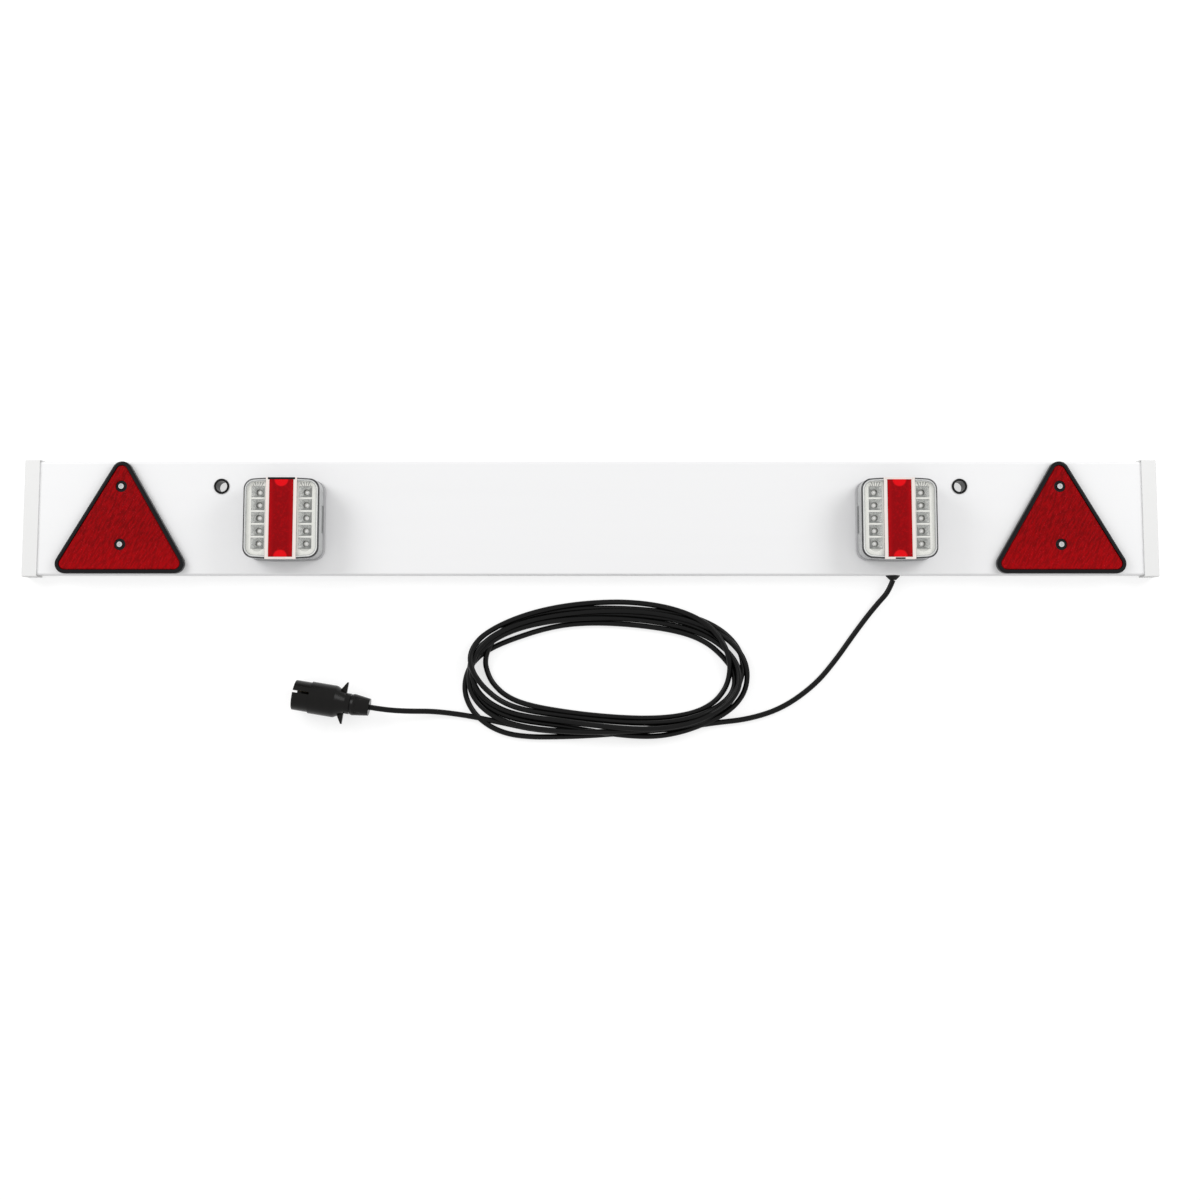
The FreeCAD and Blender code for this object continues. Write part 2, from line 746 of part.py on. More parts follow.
def make_reflector(name, side):
    """Build a triangular reflector: black tray with a rounded rim, red lens, two screws."""
    x = side * reflector_x
    tray = Piece(f"reflector_tray_{name}", x, 0, size.board_depth)
    outline = tray.sketch("XY_Plane", 0)
    draw_triangle(outline)
    tray.pad(outline, size.reflector_depth)
    tray.fillet(level(size.reflector_depth), size.reflector_rim_radius)
    well = tray.sketch("XY_Plane", size.reflector_depth)
    draw_triangle(well, size.reflector_rim)
    tray.pocket(well, size.reflector_depth - size.reflector_floor)
    bosses = tray.sketch("XY_Plane", size.reflector_floor)
    for y in reflector_screw_y:
        draw_circle(bosses, 0.5 * size.reflector_boss_diameter, 0, y)
    tray.pad(bosses, size.reflector_boss_rise)
    boss_top = size.reflector_floor + size.reflector_boss_rise
    holes = tray.sketch("XY_Plane", boss_top)
    for y in reflector_screw_y:
        draw_circle(holes, screw_hole_radius, 0, y)
    tray.pocket(holes)
    keep(tray)

    lens = Piece(f"reflector_lens_{name}", x, 0, size.board_depth + size.reflector_floor)
    face = lens.sketch("XY_Plane", 0)
    draw_triangle(face, size.reflector_rim + size.reflector_lens_clearance)
    lens.pad(face, size.reflector_lens_depth)
    lens.chamfer(level(size.reflector_lens_depth), size.reflector_lens_chamfer)
    clear = lens.sketch("XY_Plane", size.reflector_lens_depth)
    for y in reflector_screw_y:
        draw_circle(clear, 0.5 * size.reflector_boss_diameter + size.reflector_lens_clearance, 0, y)
    lens.pocket(clear)
    keep(lens)

    spots = [(x, y) for y in reflector_screw_y]
    make_screws(f"reflector_screws_{name}", spots, size.board_depth + boss_top, size.reflector_screw_reach)


# Heights inside a lamp, above the board's face
base_top = size.gasket_depth + size.base_depth
circuit_top = size.circuit_rise + size.circuit_depth
tray_top = size.lamp_depth - size.lens_wall - size.tray_gap
lamp_screw_offsets = [y + size.lamp_drop for y in lamp_screw_y]
wiring_offset = wiring_y + size.lamp_drop
lead_hole_radius = 0.5 * size.lead_diameter + size.lead_clearance
column_x = 0.5 * size.column_spacing
column_height = (size.led_rows - 1) * size.led_pitch + size.cell_height
last_row_y = size.column_rise - 0.5 * (size.led_rows - 1) * size.led_pitch


def led_spots():
    """List the middles of the lamp's cells."""
    rows = range(int(size.led_rows.number))
    return [(sign * column_x, last_row_y + row * size.led_pitch) for sign in (-1, 1) for row in rows]


def lamp_piece(label, name, side, z=0):
    """Start a piece of a lamp in the lamp's own frame, which stands on the board's face."""
    return Piece(f"lamp_{label}_{name}", side * lamp_x, -size.lamp_drop, size.board_depth + z)


def make_lamp_base(name, side):
    """Build what holds the lamp to the board: foam gasket, base tray with bosses, screws."""
    gasket = lamp_piece("gasket", name, side)
    sheet_outline = gasket.sketch("XY_Plane", 0)
    draw_lamp_outline(sheet_outline, size.gasket_inset)
    gasket.pad(sheet_outline, size.gasket_depth)
    holes = gasket.sketch("XY_Plane", size.gasket_depth)
    for y in lamp_screw_offsets:
        draw_circle(holes, screw_hole_radius, 0, y)
    draw_circle(holes, lead_hole_radius, 0, wiring_offset)
    gasket.pocket(holes)
    keep(gasket)

    base = lamp_piece("base", name, side)
    outline = base.sketch("XY_Plane", size.gasket_depth)
    draw_lamp_outline(outline, -size.lamp_foot_lip)
    base.pad(outline, size.base_depth)
    well = base.sketch("XY_Plane", base_top)
    draw_lamp_outline(well, size.base_wall)
    base.pocket(well, size.base_depth - size.base_floor)
    floor_top = size.gasket_depth + size.base_floor
    bosses = base.sketch("XY_Plane", floor_top)
    for y in lamp_screw_offsets:
        draw_circle(bosses, 0.5 * size.lamp_boss_diameter, 0, y)
    base.pad(bosses, size.circuit_rise - floor_top)
    pilots = base.sketch("XY_Plane", size.gasket_depth)
    for y in lamp_screw_offsets:
        draw_circle(pilots, screw_hole_radius, 0, y)
    base.pocket(pilots, size.lamp_screw_reach, reverse=True)
    lead = base.sketch("XY_Plane", floor_top)
    draw_circle(lead, lead_hole_radius, 0, wiring_offset)
    base.pocket(lead)
    keep(base)

    spots = [(side * lamp_x, y) for y in lamp_screw_y]
    seat = size.board_depth - size.board_wall
    make_screws(f"lamp_screws_{name}", spots, seat, size.lamp_screw_reach, head_up=False)


def make_lamp_inside(name, side):
    """Build the circuit board, its lights and the bright tray with one cell for each light."""
    circuit = lamp_piece("circuit_board", name, side)
    outline = circuit.sketch("XY_Plane", size.circuit_rise)
    draw_lamp_outline(outline, size.lens_wall + size.circuit_clearance)
    circuit.pad(outline, size.circuit_depth)
    keep(circuit)

    lights = lamp_piece("leds", name, side)
    dots = lights.sketch("XY_Plane", circuit_top)
    for x, y in led_spots():
        draw_circle(dots, 0.5 * size.led_diameter, x, y)
    lights.pad(dots, size.led_length)
    lights.fillet(level(circuit_top + size.led_length), size.led_crown_radius)
    keep(lights)

    tray = lamp_piece("tray", name, side)
    plate = tray.sketch("XY_Plane", tray_top - size.tray_plate)
    draw_lamp_outline(plate, size.lens_wall + size.tray_clearance)
    tray.pad(plate, size.tray_plate)
    blocks = tray.sketch("XY_Plane", circuit_top)
    for sign in (-1, 1):
        width = size.cell_width + 2 * size.tray_wall
        height = column_height + 2 * size.tray_wall
        draw_box(blocks, width, height, sign * column_x, size.column_rise)
    tray.pad(blocks, tray_top - size.tray_plate - circuit_top)
    cells = tray.sketch("XY_Plane", tray_top)
    for sign in (-1, 1):
        draw_box(cells, size.cell_width, size.cell_height, sign * column_x, last_row_y)
    depth = tray_top - circuit_top - size.cell_floor
    cell = tray.pocket(cells, depth, slope=-size.cell_slope)
    tray.row([cell], cells, "V_Axis", size.led_pitch, size.led_rows)
    fan_low = size.column_rise + 0.5 * column_height
    fan_high = fan_low + size.fan_height
    foot, crown = 0.5 * size.cell_width, 0.5 * size.fan_crown_width
    for sign in (-1, 1):
        fan = tray.sketch("XY_Plane", tray_top)
        middle = sign * column_x
        corners = [(-foot, fan_low), (foot, fan_low), (crown, fan_high), (-crown, fan_high)]
        draw_polygon(fan, [(middle + x, y) for x, y in corners])
        tray.pocket(fan, size.end_recess_depth)
        bowl = tray.sketch("XY_Plane", tray_top)
        draw_circle(bowl, foot, middle, last_row_y - size.bowl_drop)
        tray.pocket(bowl, size.end_recess_depth)
    holes = tray.sketch("XY_Plane", tray_top)
    for x, y in led_spots():
        draw_circle(holes, 0.5 * size.led_diameter + size.led_hole_clearance, x, y)
    tray.pocket(holes)
    keep(tray)


def make_lamp_front(name, side):
    """Build the clear lens, and the strip frame with its red reflex that fills the lens's slot."""
    lens = lamp_piece("lens", name, side)
    outline = lens.sketch("XY_Plane", base_top)
    draw_lamp_outline(outline)
    lens.pad(outline, size.lamp_depth - base_top)
    lens.fillet(level(size.lamp_depth), size.lens_edge_radius)
    inside = lens.sketch("XY_Plane", base_top)
    draw_lamp_outline(inside, size.lens_wall)
    lens.pocket(inside, size.lamp_depth - base_top - size.lens_wall, reverse=True)
    slot = lens.sketch("XY_Plane", size.lamp_depth)
    slot_width = size.strip_width + 2 * size.strip_clearance
    draw_box(slot, slot_width, size.lamp_height + 2 * size.strip_overrun)
    lens.pocket(slot, size.lamp_depth - tray_top)
    window = lens.sketch("YZ_Plane", -side * 0.5 * size.lamp_width)
    window_middle = base_top + size.window_rise + 0.5 * size.window_height
    draw_box(window, size.window_length, size.window_height, 0, window_middle)
    lens.pocket(window, size.window_depth, reverse=side > 0)
    keep(lens)

    frame = lamp_piece("strip_frame", name, side, tray_top)
    frame_depth = size.lamp_depth - tray_top + size.strip_proud
    bed = frame.sketch("XY_Plane", 0)
    draw_box(bed, size.strip_width, size.lamp_height)
    frame.pad(bed, frame_depth)
    seat_depth = size.reflex_depth - size.reflex_proud
    seat = frame.sketch("XY_Plane", frame_depth)
    slack = 2 * size.strip_clearance
    draw_box(seat, size.reflex_width + slack, size.reflex_height + slack)
    frame.pocket(seat, seat_depth)
    notches = frame.sketch("XY_Plane", frame_depth)
    half = 0.5 * size.lamp_height
    bar_width = size.top_bar_width + slack
    draw_box(notches, bar_width, 2 * size.top_bar_height, 0, half)
    vent_width = size.vent_plug_width + slack
    draw_box(notches, vent_width, 2 * size.vent_plug_height, 0, -half)
    frame.pocket(notches, seat_depth)
    keep(frame)

    seat_z = tray_top + frame_depth - seat_depth
    reflex = lamp_piece("reflex", name, side, seat_z)
    face = reflex.sketch("XY_Plane", 0)
    draw_box(face, size.reflex_width, size.reflex_height)
    reflex.pad(face, size.reflex_depth)
    keep(reflex)

    for label, width, height, y in (
        ("top_bar", size.top_bar_width, size.top_bar_height, half - 0.5 * size.top_bar_height),
        ("vent_plug", size.vent_plug_width, size.vent_plug_height, 0.5 * size.vent_plug_height - half),
    ):
        bar = lamp_piece(label, name, side, seat_z)
        shape = bar.sketch("XY_Plane", 0)
        draw_box(shape, width, height - size.strip_clearance, 0, y)
        bar.pad(shape, seat_depth)
        keep(bar)


def make_wiring():
    """Build what lies inside the board: main lead, junction block, tail lead and link lead."""
    middle = 0.5 * size.board_depth
    junction_front = wiring_y - 0.5 * size.junction_width
    block = doc.addObject("Part::Box", "junction_block")
    bind(block, "Length", size.junction_length)
    bind(block, "Width", size.junction_width)
    bind(block, "Height", size.junction_depth)
    place(block, lamp_x - 0.5 * size.junction_length, junction_front, size.board_wall)
    keep(block)

    main = doc.addObject("Part::Cylinder", "main_lead")
    bind(main, "Radius", 0.5 * size.cable_diameter)
    start = -0.5 * size.board_height - size.exit_reach
    bind(main, "Height", junction_front - start)
    place(main, lamp_x, start, middle, (1, 0, 0), -90)
    keep(main)

    tail = doc.addObject("Part::Cylinder", "lamp_tail_lead")
    bind(tail, "Radius", 0.5 * size.lead_diameter)
    block_top = size.board_wall + size.junction_depth
    bind(tail, "Height", size.board_depth + size.circuit_rise - block_top)
    place(tail, lamp_x, wiring_y, block_top)
    keep(tail)

    link = doc.addObject("Part::Feature", "link_lead")
    low = (size.board_wall + size.lead_clearance + 0.5 * size.lead_diameter).number
    y = wiring_y.number
    bend = size.lead_bend_radius.number
    far = -lamp_x.number
    top = (size.board_depth + size.circuit_rise).number
    first = FreeCAD.Vector((lamp_x - 0.5 * size.junction_length).number, y, low)
    turn_start = FreeCAD.Vector(far + bend, y, low)
    turn_end = FreeCAD.Vector(far, y, low + bend)
    corner = math.sqrt(0.5)
    turn_middle = FreeCAD.Vector(far + bend * (1 - corner), y, low + bend * (1 - corner))
    last = FreeCAD.Vector(far, y, top)
    path = Part.Wire(
        [
            Part.LineSegment(first, turn_start).toShape(),
            Part.Arc(turn_start, turn_middle, turn_end).toShape(),
            Part.LineSegment(turn_end, last).toShape(),
        ]
    )
    link.Shape = sweep_round(path, first, turn_start - first, 0.5 * size.lead_diameter.number)
    keep(link)


def sweep_round(path, start, direction, radius):
    """Sweep a round section along a wire into a closed solid."""
    rim = Part.Wire(Part.Circle(start, direction, radius).toShape())
    return path.makePipeShell([rim], True, False)


def make_exit_grommet():
    """Build the black grommet in the board's lower edge, flared outside and collared inside."""
    edge_y = -0.5 * size.board_height
    grommet = Piece("exit_grommet", lamp_x, edge_y, 0.5 * size.board_depth, (0, 0, 1), -90)
    bore = 0.5 * size.cable_diameter + 0.5 * size.lead_clearance
    neck = 0.5 * size.exit_hole_diameter - 0.5 * size.lead_clearance
    profile = grommet.sketch("XY_Plane", 0)
    inside = -size.board_wall
    draw_polygon(
        profile,
        [
            (inside - size.exit_collar_depth, bore),
            (size.exit_reach, bore),
            (size.exit_reach, 0.5 * size.exit_tip_diameter),
            (size.exit_rim, 0.5 * size.exit_flare_diameter),
            (0, 0.5 * size.exit_flare_diameter),
            (0, neck),
            (inside, neck),
            (inside, 0.5 * size.exit_collar_diameter),
            (inside - size.exit_collar_depth, 0.5 * size.exit_collar_diameter),
        ],
    )
    grommet.spin(profile)
    keep(grommet)


def corner_radius(before, point, after):
    """Give the largest gentle arc for a corner between two runs."""
    inward, outward = point - before, after - point
    half_turn = 0.5 * inward.getAngle(outward)
    return 0.45 * min(inward.Length, outward.Length) / math.tan(half_turn)


def rounded_path(points, closed=False):
    """Join straight runs by tangent arcs, and return the edges, radii and turns in degrees."""
    spots = [FreeCAD.Vector(*point) for point in points]
    count = len(spots)
    corners = range(count) if closed else range(1, count - 1)
    arcs = {}
    radii = []
    for index in corners:
        before, point, after = spots[index - 1], spots[index], spots[(index + 1) % count]
        radius = corner_radius(before, point, after)
        inward, outward = (point - before).normalize(), (after - point).normalize()
        half_turn = 0.5 * inward.getAngle(outward)
        back = radius * math.tan(half_turn)
        begin, end = point - inward * back, point + outward * back
        bisector = (outward - inward).normalize()
        middle = point + bisector * (radius / math.cos(half_turn) - radius)
        arcs[index] = (begin, middle, end)
        radii.append((radius, math.degrees(2 * half_turn)))
    edges = []
    last = arcs[corners[-1]][2] if closed else spots[0]
    for index in corners:
        begin, middle, end = arcs[index]
        edges.append(Part.LineSegment(last, begin).toShape())
        edges.append(Part.Arc(begin, middle, end).toShape())
        last = end
    if not closed:
        edges.append(Part.LineSegment(last, spots[-1]).toShape())
    return edges, radii


def make_cable_run(label, points):
    """Build a plain tube along one uncoiled stretch of the free cable."""
    edges, radii = rounded_path(points)
    path = Part.Wire(edges)
    start, following = FreeCAD.Vector(*points[0]), FreeCAD.Vector(*points[1])
    radius = 0.5 * size.cable_diameter.number
    run = doc.addObject("Part::Feature", label)
    run.Shape = sweep_round(path, start, following - start, radius)
    expected = math.pi * radius**2 * path.Length
    share = run.Shape.Volume / expected
    listed = ", ".join(f"{arc:.0f} mm at {turn:.0f} deg" for arc, turn in radii)
    print(f"{label}: {path.Length:.1f} mm long, volume {share:.4f} of section times length, arcs {listed}")
    if abs(share - 1) > 0.01:
        raise RuntimeError(f"{label} isn't a sound tube")
    keep(run)


def oval_corners(reaches, fullness):
    """Work out the corners of a closed oval from its reach right, up, left and down."""
    right, top, left, bottom = (reach.number for reach in reaches)
    swell = 1 / math.cos(math.pi / COIL_CORNERS)
    corners = []
    for step in range(COIL_CORNERS):
        angle = 2 * math.pi * (step + 0.5) / COIL_CORNERS
        across, up = math.cos(angle), math.sin(angle)
        power = 2 / fullness[int(angle / (math.pi / 2))]
        reach_x, reach_y = (right if across > 0 else left), (top if up > 0 else bottom)
        x = COIL_MIDDLE[0] + swell * math.copysign(reach_x * abs(across) ** power, across)
        y = COIL_MIDDLE[1] + swell * math.copysign(reach_y * abs(up) ** power, up)
        corners.append((x, y, 0.0))
    return corners


def make_coil():
    """Build the coil as one closed ring of its outer shape, open in its middle."""
    outer = (size.coil_right, size.coil_top, size.coil_left, size.coil_bottom)
    opening = (
        size.coil_opening_right,
        size.coil_opening_top,
        size.coil_opening_left,
        size.coil_opening_bottom,
    )
    rings = []
    for reaches, fullness in ((outer, OUTER_FULLNESS), (opening, OPENING_FULLNESS)):
        edges, _ = rounded_path(oval_corners(reaches, fullness), closed=True)
        rings.append(Part.Face(Part.Wire(edges)))
    height = FreeCAD.Vector(0, 0, size.coil_height.number)
    coil = doc.addObject("Part::Feature", "cable_coil")
    coil.Shape = rings[0].cut(rings[1]).extrude(height)
    keep(coil)


def plug_piece(label, reach=0):
    """Start a piece of the plug in the plug's own frame, X along it from its open end."""
    turn = math.radians(PLUG_TURN)
    reach = Measure.of(reach)
    x = PLUG_FRONT[0] + reach * math.cos(turn)
    y = PLUG_FRONT[1] + reach * math.sin(turn)
    return Piece(label, x, y, 0.5 * size.plug_body_diameter, (0, 0, 1), PLUG_TURN)


def make_plug():
    """Build the seven-pin plug: shell with wings and keyway, insert, contacts, nut and seal."""
    shell = plug_piece("plug_shell")
    cable_bore = 0.5 * size.cable_diameter + size.lead_clearance
    barrel, body = 0.5 * size.plug_barrel_diameter, 0.5 * size.plug_body_diameter
    profile = shell.sketch("XY_Plane", 0)
    draw_polygon(
        profile,
        [
            (0, 0.5 * size.plug_mouth_diameter),
            (size.plug_mouth_depth, 0.5 * size.plug_mouth_diameter),
            (size.plug_body_end, 0.5 * size.plug_mouth_diameter),
            (size.plug_neck_start - size.plug_back_wall, cable_bore),
            (size.plug_thread_end, cable_bore),
            (size.plug_thread_end, 0.5 * size.plug_thread_diameter),
            (size.plug_neck_end, 0.5 * size.plug_thread_diameter),
            (size.plug_neck_end, 0.5 * size.plug_neck_diameter),
            (size.plug_neck_start, 0.5 * size.plug_neck_diameter),
            (size.plug_body_end, body),
            (size.plug_barrel_length, body),
            (size.plug_barrel_length, barrel),
            (0, barrel),
        ],
    )
    shell.spin(profile)
    shell.fillet(rim_at(size.plug_body_end, body), size.plug_shoulder_radius)
    shell.fillet(rim_at(0, barrel), size.plug_mouth_edge_radius)
    wings = shell.sketch("XY_Plane", -0.5 * size.wing_width)
    inside = 0.5 * size.plug_neck_diameter - size.wing_root
    for sign in (-1, 1):
        corners = [
            (size.wing_start, sign * inside),
            (size.wing_end, sign * inside),
            (size.wing_end, sign * 0.5 * size.wing_span),
            (size.wing_tip, sign * 0.5 * size.wing_span),
        ]
        draw_polygon(wings, corners if sign > 0 else corners[::-1])
    shell.pad(wings, size.wing_width)
    keyway = shell.sketch("YZ_Plane", 0)
    lean = math.radians(SIZES["keyway_turn"])
    keyway_length = size.plug_barrel_length
    half = 0.5 * size.keyway_width
    low = 0.5 * size.plug_mouth_diameter - size.keyway_margin
    high = 0.5 * size.plug_barrel_diameter + size.keyway_margin
    across, up = math.sin(lean), math.cos(lean)
    corners = ((low, -half), (low, half), (high, half), (high, -half))
    draw_polygon(
        keyway,
        [(radius * across + offset * up, radius * up - offset * across) for radius, offset in corners],
    )
    shell.pocket(keyway, keyway_length, reverse=True)
    keep(shell)

    insert = plug_piece("plug_insert")
    insert_start = size.plug_mouth_depth - size.insert_depth
    disc = insert.sketch("YZ_Plane", insert_start)
    draw_circle(disc, 0.5 * size.plug_mouth_diameter - size.insert_clearance)
    insert.pad(disc, size.insert_depth)
    keep(insert)

    contacts = plug_piece("plug_contacts")
    middle = contacts.sketch("YZ_Plane", insert_start - size.contact_reach)
    draw_circle(middle, 0.5 * size.contact_diameter)
    contacts.pad(middle, size.contact_reach)
    around = contacts.sketch("YZ_Plane", insert_start - size.contact_reach)
    draw_circle(around, 0.5 * size.contact_diameter, 0, 0.5 * size.contact_ring_diameter)
    outer = contacts.pad(around, size.contact_reach)
    contacts.ring(outer, around, "N_Axis", size.contact_ring_count)
    keep(contacts)

    nut = plug_piece("plug_nut")
    profile = nut.sketch("XY_Plane", 0)
    thread = 0.5 * size.plug_thread_diameter + size.nut_clearance
    thread_end = size.plug_thread_end + size.nut_clearance
    draw_polygon(
        profile,
        [
            (size.nut_start, thread),
            (thread_end + size.seal_depth, thread),
            (thread_end + size.seal_depth, cable_bore),
            (size.plug_length, cable_bore),
            (size.plug_length, 0.5 * size.nut_tip_diameter),
            (size.nut_start + size.nut_shoulder, 0.5 * size.nut_diameter),
            (size.nut_start, 0.5 * size.nut_diameter - size.nut_bevel),
        ],
    )
    nut.spin(profile)
    flute = nut.sketch("YZ_Plane", size.plug_length - size.nut_flute_reach)
    flute_radius = 0.5 * size.nut_flute_diameter
    draw_circle(flute, flute_radius, 0, 0.5 * size.nut_diameter + 0.5 * flute_radius)
    groove = nut.pocket(flute, size.nut_flute_reach, reverse=True)
    nut.ring(groove, flute, "N_Axis", size.nut_flute_count)
    keep(nut)

    seal = plug_piece("plug_seal")
    disc = seal.sketch("YZ_Plane", thread_end)
    draw_circle(disc, thread - size.insert_clearance)
    seal.pad(disc, size.seal_depth - size.insert_clearance)
    hole = seal.sketch("YZ_Plane", thread_end)
    draw_circle(hole, cable_bore)
    seal.pocket(hole, reverse=True)
    keep(seal)

    core = doc.addObject("Part::Cylinder", "plug_cable_end")
    bind(core, "Radius", 0.5 * size.cable_diameter)
    core_start = size.plug_mouth_depth
    turn = math.radians(PLUG_TURN)
    bind(core, "Height", size.plug_length - core_start)
    x = PLUG_FRONT[0] + core_start * math.cos(turn)
    y = PLUG_FRONT[1] + core_start * math.sin(turn)
    place(core, x, y, 0.5 * size.plug_body_diameter)
    lie = FreeCAD.Rotation(FreeCAD.Vector(0, 0, 1), FreeCAD.Vector(math.cos(turn), math.sin(turn), 0))
    core.Placement.Rotation = lie
    keep(core)


def check_and_write():
    """See that every object and piece is sound, then write one file for each piece."""
    doc.recompute()
    for item in doc.Objects:
        if "Invalid" in item.State or "Error" in item.State:
            raise RuntimeError(f"{item.Label} failed: {item.State}")
    for item in nodes:
        shape = item.Shape
        if shape.isNull() or not shape.isValid() or not shape.Solids:
            raise RuntimeError(f"{item.Label} isn't a sound solid")
    os.makedirs("parts", exist_ok=True)
    for item in nodes:
        item.Shape.exportStep(f"parts/{item.Label}.step")
    print(f"{len(nodes)} pieces written")


make_board()
make_exit_grommet()
make_wiring()
for name, side in SIDES.items():
    make_end_cap(name, side)
    make_sleeve(name, side)
    make_reflector(name, side)
    make_lamp_base(name, side)
    make_lamp_inside(name, side)
    make_lamp_front(name, side)
make_cable_run("cable_board_run", BOARD_RUN)
make_coil()
make_cable_run("cable_plug_run", PLUG_RUN)
make_plug()
check_and_write()
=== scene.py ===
"""Looks of the trailer lighting board: finishes, lamp cells, loose cable and studio."""
import logging
import math
from dataclasses import dataclass
from enum import Enum

import bmesh
import bpy
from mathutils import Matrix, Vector


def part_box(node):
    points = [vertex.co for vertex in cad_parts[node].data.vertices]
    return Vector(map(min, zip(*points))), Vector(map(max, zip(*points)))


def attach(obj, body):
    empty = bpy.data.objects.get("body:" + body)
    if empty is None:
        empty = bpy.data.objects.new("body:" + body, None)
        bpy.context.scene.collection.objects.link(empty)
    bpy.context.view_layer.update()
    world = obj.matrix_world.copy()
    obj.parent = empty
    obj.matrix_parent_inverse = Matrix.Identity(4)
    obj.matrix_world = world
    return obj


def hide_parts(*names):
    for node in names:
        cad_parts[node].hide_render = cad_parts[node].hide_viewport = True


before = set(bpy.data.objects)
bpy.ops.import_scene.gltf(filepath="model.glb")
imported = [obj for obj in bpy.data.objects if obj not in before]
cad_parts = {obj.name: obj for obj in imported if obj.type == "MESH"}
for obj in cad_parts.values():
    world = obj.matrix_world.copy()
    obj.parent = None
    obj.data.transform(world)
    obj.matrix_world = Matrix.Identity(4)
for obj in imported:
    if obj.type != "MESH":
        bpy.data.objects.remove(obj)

LOG = logging.getLogger("lighting_board")
MM = 0.001
ROOT = "root"
WHITE = (1.0, 1.0, 1.0, 1.0)

Colour = tuple[float, float, float]
Point = tuple[float, float, float]
Span = tuple[float, float]
Corners = tuple[Vector, Vector]
Socket = bpy.types.NodeSocket


class Side(Enum):
    """The two ends of the board."""

    LEFT = -1
    RIGHT = 1

    @property
    def word(self) -> str:
        """Give the side's name as the nodes spell it."""
        return self.name.lower()


def box_middle(node: str) -> Vector:
    """Find the middle of a node's box.

    Args:
        node: The name of a node of the frame.

    Returns:
        The point half way between the node's lowest and highest corners.
    """
    low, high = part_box(node)
    return (Vector(low) + Vector(high)) / 2


